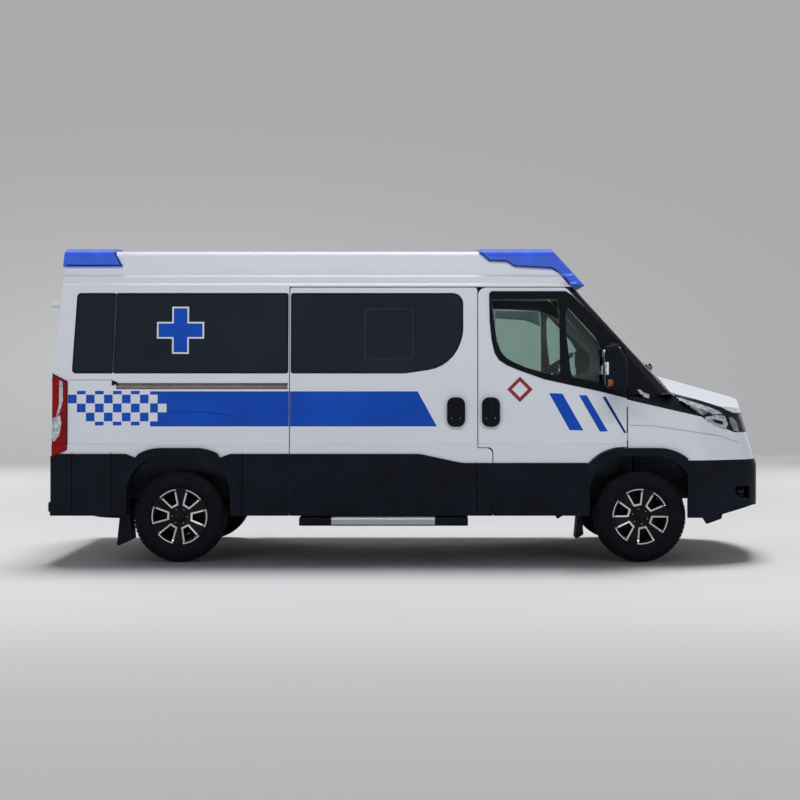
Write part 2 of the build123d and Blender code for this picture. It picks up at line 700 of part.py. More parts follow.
quarter_cladding = [
    (REAR_CLADDING_X, SILL_Z, 0),
    (REAR_CLADDING_X, CLADDING_REAR_TOP_Z, 0),
    (SLIDER_REAR_X - HALF_GAP, CLADDING_REAR_TOP_Z, 0),
    (SLIDER_REAR_X - HALF_GAP, SILL_Z, 0),
]

# White body shows in a notch at each end of the rear flare, where the cladding's top line meets its curve.
NOTCH_LOW_Z = CLADDING_REAR_TOP_Z - 29
FLARE_NOTCHES = [
    [(-2190, 836, 0), (-2105, NOTCH_LOW_Z, 0), (-2078, 836, 0)],
    [(-1482, 836, 0), (-1463, NOTCH_LOW_Z, 0), (-1374, 836, 0)],
]

with BuildPart() as lower_cladding:
    for sign in SIDES.values():
        with BuildPart(mode=Mode.PRIVATE) as quarter:
            add(slab(quarter_cladding, sign, CLADDING_THICKNESS))
            flare = slab(rear_flare, sign, FLARE_THICKNESS)
            add(flare & block(-3000, 0, -WIDE, WIDE, SILL_Z, 1000))
            add(side_prism(rear_arch, sign * PANEL_DEPTH_Y, sign * WIDE), mode=Mode.SUBTRACT)
            for notch in FLARE_NOTCHES:
                add(side_prism(notch, sign * PANEL_DEPTH_Y, sign * WIDE), mode=Mode.SUBTRACT)
        add(quarter.part)
        add(slab(slider_cladding, sign, CLADDING_THICKNESS))
        with BuildPart(mode=Mode.PRIVATE) as front_flare_ring:
            add(slab(front_flare, sign, FLARE_THICKNESS))
            add(block(1000, BUMPER_REAR_X, -WIDE, WIDE, SILL_Z, 1000), mode=Mode.INTERSECT)
            add(side_prism(front_arch, sign * PANEL_DEPTH_Y, sign * WIDE), mode=Mode.SUBTRACT)
        add(front_flare_ring.part)
finish(lower_cladding, "lower_cladding")

# Doors' black trim: cladding, handle and mirror

HANDLE_LOW_Z = 1037.0
HANDLE_TOP_Z = 1262.0
HANDLE_WIDTH = 137.0
HANDLE_DEPTH = 26.0
FRONT_HANDLE_X = 597.0
SLIDER_HANDLE_X = 332.0
SIDE_SKIN_Y = BODY_HALF_WIDTH - 16.0

MIRROR_HEAD = [
    (1440, 1330, 50),
    (1433, 1640, 40),
    (1520, 1668, 40),
    (1600, 1560, 60),
    (1609, 1318, 40),
]
MIRROR_ARM = [(1480, 1400, 10), (1480, 1460, 10), (1590, 1460, 10), (1590, 1400, 10)]
MIRROR_INNER_Y = BODY_HALF_WIDTH + 82
MIRROR_OUTER_Y = BODY_HALF_WIDTH + 267
MIRROR_EDGE = 22.0


def handle(centre_x, sign):
    corners = [
        (centre_x - HANDLE_WIDTH / 2, HANDLE_LOW_Z, 55),
        (centre_x - HANDLE_WIDTH / 2, HANDLE_TOP_Z, 55),
        (centre_x + HANDLE_WIDTH / 2, HANDLE_TOP_Z, 55),
        (centre_x + HANDLE_WIDTH / 2, HANDLE_LOW_Z, 55),
    ]
    with BuildPart() as solid:
        add(side_prism(corners, sign * (SIDE_SKIN_Y - 20), sign * (SIDE_SKIN_Y + HANDLE_DEPTH)))
        add(cabin, mode=Mode.SUBTRACT)
    return solid.part


for side, sign in SIDES.items():
    with BuildPart() as front_door_trim:
        add(slab(front_door_cladding, sign, CLADDING_THICKNESS))
        flare_clear = arch(FRONT_AXLE_X, FLARE_HALF_WIDTH + SHUT_GAP, FLARE_TOP_Z + SHUT_GAP, FLARE_RADIUS)
        add(side_prism(flare_clear, sign * PANEL_DEPTH_Y, sign * WIDE), mode=Mode.SUBTRACT)
        add(handle(FRONT_HANDLE_X, sign))
        with BuildPart(mode=Mode.PRIVATE) as mirror_head:
            add(side_prism(MIRROR_HEAD, sign * MIRROR_INNER_Y, sign * MIRROR_OUTER_Y))
            rims = mirror_head.edges().filter_by(Axis.Y, reverse=True)
            fillet(rims, MIRROR_EDGE)
            add(side_prism(MIRROR_ARM, sign * (INNER_Y + 17), sign * (MIRROR_INNER_Y + 5)))
            add(cabin, mode=Mode.SUBTRACT)
        add(mirror_head.part)
    finish(front_door_trim, f"front_door_trim_{side}")

with BuildPart() as sliding_door_handle:
    add(handle(SLIDER_HANDLE_X, -1))
finish(sliding_door_handle, "sliding_door_handle")

# Rear doors with windows, and the lamps, bumper and step round them

REAR_GLASS = [
    (-REAR_DOOR_HALF_WIDTH + 118, 1470, 70),
    (-REAR_DOOR_HALF_WIDTH + 143, REAR_DOOR_TOP_Z - 185, 70),
    (-110, REAR_DOOR_TOP_Z - 185, 50),
    (-110, 1470, 50),
]

for side, sign in SIDES.items():
    door_half = [
        (-REAR_DOOR_HALF_WIDTH, REAR_DOOR_LOW_Z, 30),
        (-REAR_DOOR_HALF_WIDTH, REAR_DOOR_CURVE_Z, 900),
        (-REAR_DOOR_HALF_WIDTH + 42, REAR_DOOR_TOP_Z, 60),
        (-HALF_GAP, REAR_DOOR_TOP_Z, 0),
        (-HALF_GAP, REAR_DOOR_LOW_Z, 0),
    ]
    door_corners = [(-sign * y, z, radius) for y, z, radius in door_half]
    glass_corners = [(-sign * y, z, radius) for y, z, radius in REAR_GLASS]
    with BuildPart() as rear_door:
        add(cabin_shell.part)
        add(front_prism(door_corners, -3000, REAR_TOP_X + 100), mode=Mode.INTERSECT)
        with BuildPart(mode=Mode.PRIVATE) as pane_recess:
            add(glass_recess.part)
            add(front_prism(glass_corners, -3000, REAR_TOP_X + 100), mode=Mode.INTERSECT)
        add(pane_recess.part, mode=Mode.SUBTRACT)
        opening_face = face_on(Plane.YZ.offset(-3000), glass_corners, GLASS_FLANGE)
        extrude(opening_face, amount=500, dir=(1, 0, 0), mode=Mode.SUBTRACT)
        add(rear_hinge(sign, REAR_HINGE_Y - 60, 0))
    finish(rear_door, f"rear_door_{side}")

    with BuildPart() as rear_door_glass:
        add(glass_shell.part)
        add(front_prism(glass_corners, -3000, REAR_TOP_X + 100), mode=Mode.INTERSECT)
    finish(rear_door_glass, f"rear_door_glass_{side}")

REAR_BUMPER_X = -2760.0
REAR_STEP_X = 12 - NOSE_FRONT_X
BUMPER_LOW_Z = 386.0
BUMPER_BAR_TOP_Z = 548.0
CORNER_INNER_Y = REAR_DOOR_HALF_WIDTH + SHUT_GAP

with BuildPart() as rear_bumper:
    outer_y = BODY_HALF_WIDTH + CLADDING_THICKNESS
    with BuildSketch(Plane.XY.offset(BUMPER_LOW_Z)) as bumper_plan:
        with BuildLine():
            FilletPolyline(
                (REAR_BUMPER_X, -outer_y), (REAR_CLADDING_X, -outer_y), (REAR_CLADDING_X, outer_y),
                (REAR_BUMPER_X, outer_y), radius=[45, 0, 0, 45], close=True,
            )
        make_face()
    extrude(amount=CLADDING_REAR_TOP_Z - BUMPER_LOW_Z)
    add(block(REAR_FACE_X, 0, -BODY_HALF_WIDTH, BODY_HALF_WIDTH, 0, 1000), mode=Mode.SUBTRACT)
    door_zone = block(-3000, REAR_FACE_X, -CORNER_INNER_Y, CORNER_INNER_Y, BUMPER_BAR_TOP_Z, 1000)
    add(door_zone, mode=Mode.SUBTRACT)
    add(side_prism(TAIL_LAMP, -WIDE, WIDE), mode=Mode.SUBTRACT)
    add(block(REAR_STEP_X, REAR_BUMPER_X, -620, 620, 392, 460))
finish(rear_bumper, "rear_bumper")

# Roof lamps: one across the front that overhangs the windscreen, and one at each rear corner

LAMP_PROUD = 18.0
ROOF_LAMP_FRONT = [
    (505, ROOF_Z + 40, 0),
    (515, ROOF_Z - 53, 0),
    (589, ROOF_Z - 121, 10),
    (726, ROOF_Z - 124, 20),
    (779, ROOF_Z - 163, 20),
    (1084, ROOF_Z - 180, 60),
    (1137, ROOF_Z - 220, 30),
    (1215, ROOF_Z - 303, 0),
    (1330, ROOF_Z - 303, 0),
    (1389, ROOF_Z - 225, 20),
    (1331, ROOF_Z - 148, 80),
    (1167, ROOF_Z - 33, 200),
    (980, ROOF_Z + 20, 100),
]
ROOF_LAMP_REAR = [
    (-2700, ROOF_Z - 163, 0),
    (-2219, ROOF_Z - 163, 6),
    (-2280, ROOF_Z - 63, 6),
    (-2300, ROOF_Z + 40, 0),
    (-2700, ROOF_Z + 40, 0),
]
ROOF_LAMP_INNER_Y = BODY_HALF_WIDTH - 443
LAMP_OVERHANG = 105.0

with BuildPart() as roof_lamp_front:
    outer_section = face_on(Plane.YZ.offset(-3000), mirrored(CABIN_SECTION, -1, 1), -LAMP_PROUD)
    extrude(outer_section, amount=6000, dir=(1, 0, 0))
    add(side_prism(ROOF_LAMP_FRONT, -WIDE, WIDE), mode=Mode.INTERSECT)
    lamp_plan = [(x + LAMP_OVERHANG, y, radius) for x, y, radius in CABIN_PLAN]
    plan_face = face_on(Plane.XY.offset(SCREEN_BASE_Z), mirrored(lamp_plan, 1, -1))
    extrude(plan_face, amount=2600, dir=(-SCREEN_LEAN, 0, 1), both=True, mode=Mode.INTERSECT)
    add(cabin, mode=Mode.SUBTRACT)
finish(roof_lamp_front, "roof_lamp_front")

with BuildPart() as roof_lamps_rear:
    for sign in SIDES.values():
        with BuildPart(mode=Mode.PRIVATE) as lamp:
            add(cabin_hull(-LAMP_PROUD))
            add(side_prism(ROOF_LAMP_REAR, sign * ROOF_LAMP_INNER_Y, sign * WIDE), mode=Mode.INTERSECT)
            add(cabin, mode=Mode.SUBTRACT)
        add(lamp.part)
finish(roof_lamps_rear, "roof_lamps_rear")

# Wheels. Distances along the axle are from the wheel's middle, positive outwards.

AXLES = {"front": FRONT_AXLE_X, "rear": REAR_AXLE_X}
TYRE_HALF = TYRE_WIDTH / 2
RIM_HALF = RIM_WIDTH / 2
LIP_WIDTH = 6.0
HUB_INNER_U = -52.0
STUB_END_U = 40.0
FACE_RIM_U = 82.0
FACE_HUB_U = 62.0


def wheel_plane(axle_x, sign):
    # Local x runs outwards along the axle and local y runs up.
    return Plane(origin=(axle_x, sign * TRACK / 2, TYRE_RADIUS), x_dir=(0, sign, 0), z_dir=(sign, 0, 0))


def axle_line(axle_x, sign):
    return Axis((axle_x, sign * TRACK / 2, TYRE_RADIUS), (0, sign, 0))


def tyre(axle_x, sign):
    with BuildPart() as solid:
        with BuildSketch(wheel_plane(axle_x, sign)):
            with BuildLine():
                Polyline(
                    (-RIM_HALF - LIP_WIDTH, RIM_LIP_RADIUS), (-RIM_HALF, RIM_LIP_RADIUS),
                    (-RIM_HALF, RIM_SEAT_RADIUS), (RIM_HALF, RIM_SEAT_RADIUS),
                    (RIM_HALF, RIM_LIP_RADIUS), (RIM_HALF + LIP_WIDTH, RIM_LIP_RADIUS),
                )
                ThreePointArc(
                    (RIM_HALF + LIP_WIDTH, RIM_LIP_RADIUS),
                    (TYRE_HALF, (RIM_SEAT_RADIUS + TYRE_RADIUS) / 2),
                    (TYRE_HALF - TYRE_SHOULDER / 2, TYRE_RADIUS - TYRE_SHOULDER),
                )
                Line(
                    (TYRE_HALF - TYRE_SHOULDER / 2, TYRE_RADIUS - TYRE_SHOULDER),
                    (TYRE_HALF - TYRE_SHOULDER, TYRE_RADIUS - 4),
                )
                ThreePointArc(
                    (TYRE_HALF - TYRE_SHOULDER, TYRE_RADIUS - 4),
                    (0, TYRE_RADIUS),
                    (-TYRE_HALF + TYRE_SHOULDER, TYRE_RADIUS - 4),
                )
                Line(
                    (-TYRE_HALF + TYRE_SHOULDER, TYRE_RADIUS - 4),
                    (-TYRE_HALF + TYRE_SHOULDER / 2, TYRE_RADIUS - TYRE_SHOULDER),
                )
                ThreePointArc(
                    (-TYRE_HALF + TYRE_SHOULDER / 2, TYRE_RADIUS - TYRE_SHOULDER),
                    (-TYRE_HALF, (RIM_SEAT_RADIUS + TYRE_RADIUS) / 2),
                    (-RIM_HALF - LIP_WIDTH, RIM_LIP_RADIUS),
                )
            make_face()
        revolve(axis=axle_line(axle_x, sign))
    return solid.part


def rim(end, axle_x, sign):
    plane = wheel_plane(axle_x, sign)
    seat_inner = RIM_SEAT_RADIUS - RIM_WALL
    with BuildPart() as solid:
        with BuildSketch(plane):
            with BuildLine():
                # Barrel between its two lips
                Polyline(
                    (-RIM_HALF - LIP_WIDTH, seat_inner), (RIM_HALF + LIP_WIDTH, seat_inner),
                    (RIM_HALF + LIP_WIDTH, RIM_LIP_RADIUS), (RIM_HALF, RIM_LIP_RADIUS),
                    (RIM_HALF, RIM_SEAT_RADIUS), (-RIM_HALF, RIM_SEAT_RADIUS),
                    (-RIM_HALF, RIM_LIP_RADIUS), (-RIM_HALF - LIP_WIDTH, RIM_LIP_RADIUS),
                    close=True,
                )
            make_face()
            with BuildLine():
                # Dished face that carries the spokes
                Polyline(
                    (FACE_HUB_U, 0), (FACE_HUB_U, HUB_RADIUS), (FACE_RIM_U, seat_inner),
                    (FACE_RIM_U - RIM_FACE_THICKNESS, seat_inner),
                    (FACE_HUB_U - RIM_FACE_THICKNESS, HUB_RADIUS), (HUB_INNER_U, HUB_RADIUS),
                    (HUB_INNER_U, STUB_RADIUS + BEARING_CLEARANCE),
                    (STUB_END_U + 1, STUB_RADIUS + BEARING_CLEARANCE), (STUB_END_U + 1, 0),
                    close=True,
                )
            make_face()
            with BuildLine():
                # Brake disc on the hub
                Polyline(
                    (HUB_INNER_U, HUB_RADIUS), (HUB_INNER_U + DISC_THICKNESS, HUB_RADIUS),
                    (HUB_INNER_U + DISC_THICKNESS, DISC_RADIUS), (HUB_INNER_U, DISC_RADIUS),
                    close=True,
                )
            make_face()
        revolve(axis=axle_line(axle_x, sign))
        face_plane = Plane(
            origin=(axle_x, sign * TRACK / 2, TYRE_RADIUS), x_dir=(1, 0, 0), z_dir=(0, sign, 0),
        )
        with BuildSketch(face_plane.offset(FACE_HUB_U - RIM_FACE_THICKNESS - 5)):
            with PolarLocations(0, SPOKE_COUNT, start_angle=-sign * WINDOW_TURN[end]):
                with BuildLine(mode=Mode.PRIVATE) as window:
                    FilletPolyline(
                        (WINDOW_INNER_RADIUS, -WINDOW_INNER_WIDTH / 2),
                        (WINDOW_OUTER_RADIUS, -WINDOW_OUTER_WIDTH / 2),
                        (WINDOW_OUTER_RADIUS, WINDOW_OUTER_WIDTH / 2),
                        (WINDOW_INNER_RADIUS, WINDOW_INNER_WIDTH / 2),
                        radius=WINDOW_CORNER, close=True,
                    )
                add(make_face(window.line, mode=Mode.PRIVATE))
        extrude(amount=60, mode=Mode.SUBTRACT)
    return solid.part


for end, axle_x in AXLES.items():
    for side, sign in SIDES.items():
        with BuildPart() as tyre_part:
            add(tyre(axle_x, sign))
        finish(tyre_part, f"tyre_{end}_{side}")
        with BuildPart() as rim_part:
            add(rim(end, axle_x, sign))
        finish(rim_part, f"rim_{end}_{side}")

# Steering knuckles, each with the stub that carries its wheel

KNUCKLE_LOW_Z = TYRE_RADIUS - 105.0
KNUCKLE_TOP_Z = TYRE_RADIUS + 125.0
KNUCKLE_INNER_Y = KINGPIN_Y - 28.0
KNUCKLE_OUTER_Y = KINGPIN_Y + 26.0

for side, sign in SIDES.items():
    with BuildPart() as knuckle:
        upright = [
            (FRONT_AXLE_X - 42, KNUCKLE_LOW_Z, 20),
            (FRONT_AXLE_X - 55, TYRE_RADIUS, 60),
            (FRONT_AXLE_X - 30, KNUCKLE_TOP_Z, 14),
            (FRONT_AXLE_X + 30, KNUCKLE_TOP_Z, 14),
            (FRONT_AXLE_X + 55, TYRE_RADIUS, 60),
            (FRONT_AXLE_X + 42, KNUCKLE_LOW_Z, 20),
        ]
        add(side_prism(upright, sign * KNUCKLE_INNER_Y, sign * KNUCKLE_OUTER_Y))
        with BuildSketch(Plane.XZ.offset(-sign * KINGPIN_Y)):
            with Locations((FRONT_AXLE_X, TYRE_RADIUS)):
                Circle(STUB_RADIUS)
        extrude(amount=TRACK / 2 + STUB_END_U - KINGPIN_Y, dir=(0, sign, 0))
        # Steering arm that reaches back from the upright
        add(block(FRONT_AXLE_X - 160, FRONT_AXLE_X - 40, *sorted((sign * KNUCKLE_INNER_Y,
                                                                  sign * (KINGPIN_Y - 2))),
                  TYRE_RADIUS - 70, TYRE_RADIUS - 40))
    finish(knuckle, f"knuckle_{side}")

# Rear axle with its differential and stubs, and the shaft that drives it

AXLE_TUBE_RADIUS = 52.0
AXLE_TUBE_END_Y = TRACK / 2 - 64
DIFFERENTIAL_RADIUS = 150.0
SHAFT_RADIUS = 38.0
SHAFT_FRONT_X = 1480.0

with BuildPart() as rear_axle:
    with BuildSketch(Plane.XZ.offset(-AXLE_TUBE_END_Y)):
        with Locations((REAR_AXLE_X, TYRE_RADIUS)):
            Circle(AXLE_TUBE_RADIUS)
    extrude(amount=2 * AXLE_TUBE_END_Y, dir=(0, -1, 0))
    stub_end = TRACK / 2 + STUB_END_U
    with BuildSketch(Plane.XZ.offset(-stub_end)):
        with Locations((REAR_AXLE_X, TYRE_RADIUS)):
            Circle(STUB_RADIUS)
    extrude(amount=2 * stub_end, dir=(0, -1, 0))
    with Locations((REAR_AXLE_X, 0, TYRE_RADIUS)):
        Sphere(DIFFERENTIAL_RADIUS)
    with BuildSketch(Plane.YZ.offset(REAR_AXLE_X)):
        with Locations((0, TYRE_RADIUS)):
            Circle(SHAFT_RADIUS)
    extrude(amount=SHAFT_FRONT_X - REAR_AXLE_X, dir=(1, 0, 0))
finish(rear_axle, "rear_axle")

SPRING_Y = RAIL_Y + 160
SPRING_WIDTH = 70.0
SPRING_HALF_LENGTH = 650.0
SPRING_EYE_Z = 470.0
SPRING_THICKNESS = 32.0
SPRING_MIDDLE_Z = TYRE_RADIUS - AXLE_TUBE_RADIUS - SPRING_THICKNESS

with BuildPart() as leaf_springs:
    for sign in SIDES.values():
        with BuildSketch(Plane.XZ.offset(-sign * SPRING_Y + SPRING_WIDTH / 2)):
            with BuildLine():
                rear_end = (REAR_AXLE_X - SPRING_HALF_LENGTH, SPRING_EYE_Z)
                front_end = (REAR_AXLE_X + SPRING_HALF_LENGTH, SPRING_EYE_Z)
                rise = SPRING_THICKNESS
                ThreePointArc(rear_end, (REAR_AXLE_X, SPRING_MIDDLE_Z), front_end)
                ThreePointArc(
                    (rear_end[0], SPRING_EYE_Z + rise),
                    (REAR_AXLE_X, SPRING_MIDDLE_Z + SPRING_THICKNESS - SEAT_GAP),
                    (front_end[0], SPRING_EYE_Z + rise),
                )
                Line(rear_end, (rear_end[0], SPRING_EYE_Z + rise))
                Line(front_end, (front_end[0], SPRING_EYE_Z + rise))
            make_face()
        extrude(amount=SPRING_WIDTH, dir=(0, 1, 0))
finish(leaf_springs, "leaf_springs")

# Chassis: two box rails, crossmembers, spring hangers, front arms and struts

RAIL_REAR_X = -2640.0
RAIL_FRONT_X = 2440.0
RAIL_LOW_Z = RAIL_TOP_Z - RAIL_HEIGHT
CROSSMEMBER_X = [-2600.0, -2330.0, -1150.0, -300.0, 620.0, 1480.0, 2400.0]
CROSSMEMBER_WIDTH = 70.0

TOW_Z = 540.0
TOW_BOSS_RADIUS = 24.0
TOW_BOSS_LENGTH = 220.0
TOW_BORE_RADIUS = 11.0
TOW_BORE_LENGTH = 70.0

with BuildPart() as chassis_frame:
    for sign in SIDES.values():
        rail_y = sorted((sign * (RAIL_Y - RAIL_WIDTH / 2), sign * (RAIL_Y + RAIL_WIDTH / 2)))
        add(block(RAIL_REAR_X, RAIL_FRONT_X, *rail_y, RAIL_LOW_Z, RAIL_TOP_Z))
        hanger_y = sorted((sign * (RAIL_Y + RAIL_WIDTH / 2 - 1), sign * (SPRING_Y + SPRING_WIDTH / 2)))
        for end_sign in (-1, 1):
            eye_x = REAR_AXLE_X + end_sign * (SPRING_HALF_LENGTH - 35)
            low = SPRING_EYE_Z + SPRING_THICKNESS
            add(block(eye_x - 35, eye_x + 35, *hanger_y, low, RAIL_TOP_Z))
    for x in CROSSMEMBER_X:
        add(block(x - CROSSMEMBER_WIDTH / 2, x + CROSSMEMBER_WIDTH / 2, -RAIL_Y, RAIL_Y, RAIL_LOW_Z + 20,
                  RAIL_TOP_Z - 20))
    # Socket for the towing eye, on the right rail's front end
    tow_y = -RAIL_Y
    with BuildSketch(Plane.YZ.offset(RAIL_FRONT_X - 1)):
        with Locations((tow_y, TOW_Z)):
            Circle(TOW_BOSS_RADIUS)
    extrude(amount=TOW_BOSS_LENGTH + 1)
    with BuildSketch(Plane.YZ.offset(RAIL_FRONT_X + TOW_BOSS_LENGTH)):
        with Locations((tow_y, TOW_Z)):
            Circle(TOW_BORE_RADIUS)
    extrude(amount=-TOW_BORE_LENGTH, mode=Mode.SUBTRACT)
finish(chassis_frame, "chassis_frame")

# Arch liners inside the wings and wheelhouses in the load space

LINER_HALF_WIDTH = ARCH_HALF_WIDTH + 22.0
LINER_TOP_Z = ARCH_TOP_Z + 20.0
LINER_OUTER_Y = INNER_Y - SEAT_GAP
LINER_INNER = {"front": LINER_INNER_Y, "rear": WHEELHOUSE_INNER_Y}
LINER_FOOT_Z = {"front": 470.0, "rear": 470.0}

with BuildPart() as arch_liners:
    for end, axle_x in AXLES.items():
        for sign in SIDES.values():
            inner_y = LINER_INNER[end]
            with BuildPart(mode=Mode.PRIVATE) as liner:
                outer = arch(axle_x, LINER_HALF_WIDTH + LINER_THICKNESS, LINER_TOP_Z + LINER_THICKNESS,
                             ARCH_RADIUS + LINER_THICKNESS)
                add(side_prism(outer, sign * inner_y, sign * LINER_OUTER_Y))
                inner = arch(axle_x, LINER_HALF_WIDTH, LINER_TOP_Z, ARCH_RADIUS)
                add(side_prism(inner, sign * (inner_y + LINER_THICKNESS), sign * WIDE), mode=Mode.SUBTRACT)
                add(block(-3000, 3000, -WIDE, WIDE, -200, LINER_FOOT_Z[end]), mode=Mode.SUBTRACT)
                low_window = block(axle_x - 200, axle_x + 200, *sorted((sign * (inner_y - 10),
                                                                        sign * (inner_y + 20))), 0, 640)
                add(low_window, mode=Mode.SUBTRACT)
            add(liner.part)
    add(front_wings.part, mode=Mode.SUBTRACT)
finish(arch_liners, "arch_liners")

# Floors, firewall, sills and door pillars

PARTITION_X = 395.0
PARTITION_THICKNESS = 25.0
FLOOR_FRONT_X = PARTITION_X - SEAT_GAP
CAB_FLOOR_REAR_X = PARTITION_X
BEARER_X = [-2600.0, -1150.0, -600.0, 0.0]
BEARER_WIDTH = 60.0
SILL_WIDTH = 60.0
SILL_OUTER_Y = INNER_Y - 6.0
PILLAR_REAR_X = B_PILLAR_X - 58.0
PILLAR_FRONT_X = B_PILLAR_X + 58.0
LINER_OUT = LINER_HALF_WIDTH + LINER_THICKNESS + SEAT_GAP

with BuildPart() as load_floor:
    floor_y = SILL_OUTER_Y
    add(block(REAR_FACE_X + WALL, FLOOR_FRONT_X, -floor_y, floor_y, FLOOR_TOP_Z - FLOOR_THICKNESS,
              FLOOR_TOP_Z))
    for sign in SIDES.values():
        house_y = sorted((sign * (WHEELHOUSE_INNER_Y - SEAT_GAP), sign * WIDE))
        add(block(REAR_AXLE_X - LINER_OUT, REAR_AXLE_X + LINER_OUT, *house_y, 0, 1000), mode=Mode.SUBTRACT)
    for x in BEARER_X:
        add(block(x - BEARER_WIDTH / 2, x + BEARER_WIDTH / 2, -floor_y + SILL_WIDTH + 1,
                  floor_y - SILL_WIDTH - 1,
                  RAIL_TOP_Z, FLOOR_TOP_Z - FLOOR_THICKNESS))
finish(load_floor, "load_floor")

FIREWALL_THICKNESS = 20.0
FIREWALL_HALF_WIDTH = BODY_HALF_WIDTH - 113
CAB_FLOOR_THICKNESS = 40.0
CAB_BEARER_X = [460.0, 1240.0]

with BuildPart() as cab_floor:
    low = CAB_FLOOR_TOP_Z - CAB_FLOOR_THICKNESS
    firewall_front = FIREWALL_X + FIREWALL_THICKNESS
    narrow_y = LINER_INNER_Y - 1
    add(block(CAB_FLOOR_REAR_X, FRONT_AXLE_X - LINER_OUT, -SILL_OUTER_Y, SILL_OUTER_Y, low, CAB_FLOOR_TOP_Z))
    add(block(FRONT_AXLE_X - LINER_OUT, firewall_front, -narrow_y, narrow_y, low, CAB_FLOOR_TOP_Z))
    add(block(FIREWALL_X, firewall_front, -narrow_y, narrow_y, CAB_FLOOR_TOP_Z, COWL_LOW_Z))
    firewall_low = LINER_TOP_Z + LINER_THICKNESS + SEAT_GAP
    add(block(FIREWALL_X, firewall_front, -FIREWALL_HALF_WIDTH, FIREWALL_HALF_WIDTH, firewall_low,
              COWL_LOW_Z))
    for x in CAB_BEARER_X:
        bearer_y = SILL_OUTER_Y - SILL_WIDTH - 1
        add(block(x - BEARER_WIDTH / 2, x + BEARER_WIDTH / 2, -bearer_y, bearer_y, RAIL_TOP_Z, low))
finish(cab_floor, "cab_floor")

with BuildPart() as sills:
    for sign in SIDES.values():
        sill_y = sorted((sign * (SILL_OUTER_Y - SILL_WIDTH), sign * SILL_OUTER_Y))
        add(block(REAR_AXLE_X + LINER_OUT, CAB_FLOOR_REAR_X, *sill_y, SILL_Z,
                  FLOOR_TOP_Z - FLOOR_THICKNESS - SEAT_GAP))
        add(block(CAB_FLOOR_REAR_X, FRONT_AXLE_X - LINER_OUT, *sill_y, SILL_Z,
                  CAB_FLOOR_TOP_Z - CAB_FLOOR_THICKNESS - SEAT_GAP))
finish(sills, "sills")

with BuildPart() as door_pillars:
    add(cabin_inside)
    add(cabin_hull(WALL + 40), mode=Mode.SUBTRACT)
    add(block(PILLAR_REAR_X, PILLAR_FRONT_X, -WIDE, WIDE, CAB_FLOOR_TOP_Z + SEAT_GAP, ROOF_Z - 135),
        mode=Mode.INTERSECT)
    with BuildPart(mode=Mode.PRIVATE) as door_room:
        add(cabin)
        add(cabin_hull(WALL + 6), mode=Mode.SUBTRACT)
        add(block(PILLAR_REAR_X - 10, PILLAR_FRONT_X + 10, -WIDE, WIDE, 0, TOP_SPLIT_Z), mode=Mode.INTERSECT)
    add(door_room.part, mode=Mode.SUBTRACT)
finish(door_pillars, "door_pillars")

with BuildPart() as partition:
    add(cabin_inside)
    partition_front = PARTITION_X + PARTITION_THICKNESS
    add(block(PARTITION_X, partition_front, -WIDE, WIDE, CAB_FLOOR_TOP_Z + SEAT_GAP, ROOF_Z),
        mode=Mode.INTERSECT)
    add(block(PARTITION_X - 1, PARTITION_X + PARTITION_THICKNESS + 1, -400, 400, 1400, 1800),
        mode=Mode.SUBTRACT)
finish(partition, "partition")

# Front suspension: lower arms and struts on the body

ARM_TOP_Z = KNUCKLE_LOW_Z - SEAT_GAP
ARM_LOW_Z = ARM_TOP_Z - 32.0
STRUT_Y = KINGPIN_Y - 70
STRUT_RADIUS = 28.0

with BuildPart() as front_suspension:
    for sign in SIDES.values():
        with BuildSketch(Plane.XY.offset(ARM_LOW_Z)):
            with BuildLine():
                FilletPolyline(
                    (FRONT_AXLE_X - 190, sign * 370), (FRONT_AXLE_X + 130, sign * 370),
                    (FRONT_AXLE_X + 36, sign * (KNUCKLE_OUTER_Y - 4)), (FRONT_AXLE_X - 36,
                                                                        sign * (KNUCKLE_OUTER_Y - 4)),
                    radius=24, close=True,
                )
            make_face()
        extrude(amount=ARM_TOP_Z - ARM_LOW_Z)
        for mount_x in (FRONT_AXLE_X - 160, FRONT_AXLE_X + 100):
            mount_y = sorted((sign * 372, sign * 430))
            add(block(mount_x - 25, mount_x + 25, *mount_y, ARM_TOP_Z - 1, RAIL_LOW_Z))
        bracket_y = sorted((sign * (STRUT_Y - 20), sign * (KINGPIN_Y + 10)))
        bracket_low = KNUCKLE_TOP_Z + SEAT_GAP
        add(block(FRONT_AXLE_X - 26, FRONT_AXLE_X + 26, *bracket_y, bracket_low, bracket_low + 18))
        with BuildSketch(Plane.XY.offset(bracket_low)):
            with Locations((FRONT_AXLE_X, sign * STRUT_Y)):
                Circle(STRUT_RADIUS)
        extrude(amount=LINER_TOP_Z - SEAT_GAP - bracket_low)
finish(front_suspension, "front_suspension")

# Engine, exhaust, tank and spare wheel

with BuildPart() as engine:
    add(block(1690, 2330, -320, 320, 470, 1120))
    add(block(1900, 1980, -RAIL_Y + RAIL_WIDTH / 2, RAIL_Y - RAIL_WIDTH / 2, 500, 560))
finish(engine, "engine")

EXHAUST_Y = 250.0
EXHAUST_Z = RAIL_LOW_Z - 15.0
EXHAUST_RADIUS = 30.0
SILENCER_RADIUS = 75.0
with BuildPart() as exhaust:
    for start_x, end_x, radius, z in (
        (-900, 1400, EXHAUST_RADIUS, EXHAUST_Z - 60),
        (-700, 0, SILENCER_RADIUS, EXHAUST_Z - 60),
    ):
        with BuildSketch(Plane.YZ.offset(start_x)):
            with Locations((EXHAUST_Y, z)):
                Circle(radius)
        extrude(amount=end_x - start_x, dir=(1, 0, 0))
    for x in (-300, 620):
        add(block(x - 15, x + 15, EXHAUST_Y - 10, EXHAUST_Y + 10, EXHAUST_Z - 60, RAIL_LOW_Z + 20))
finish(exhaust, "exhaust")

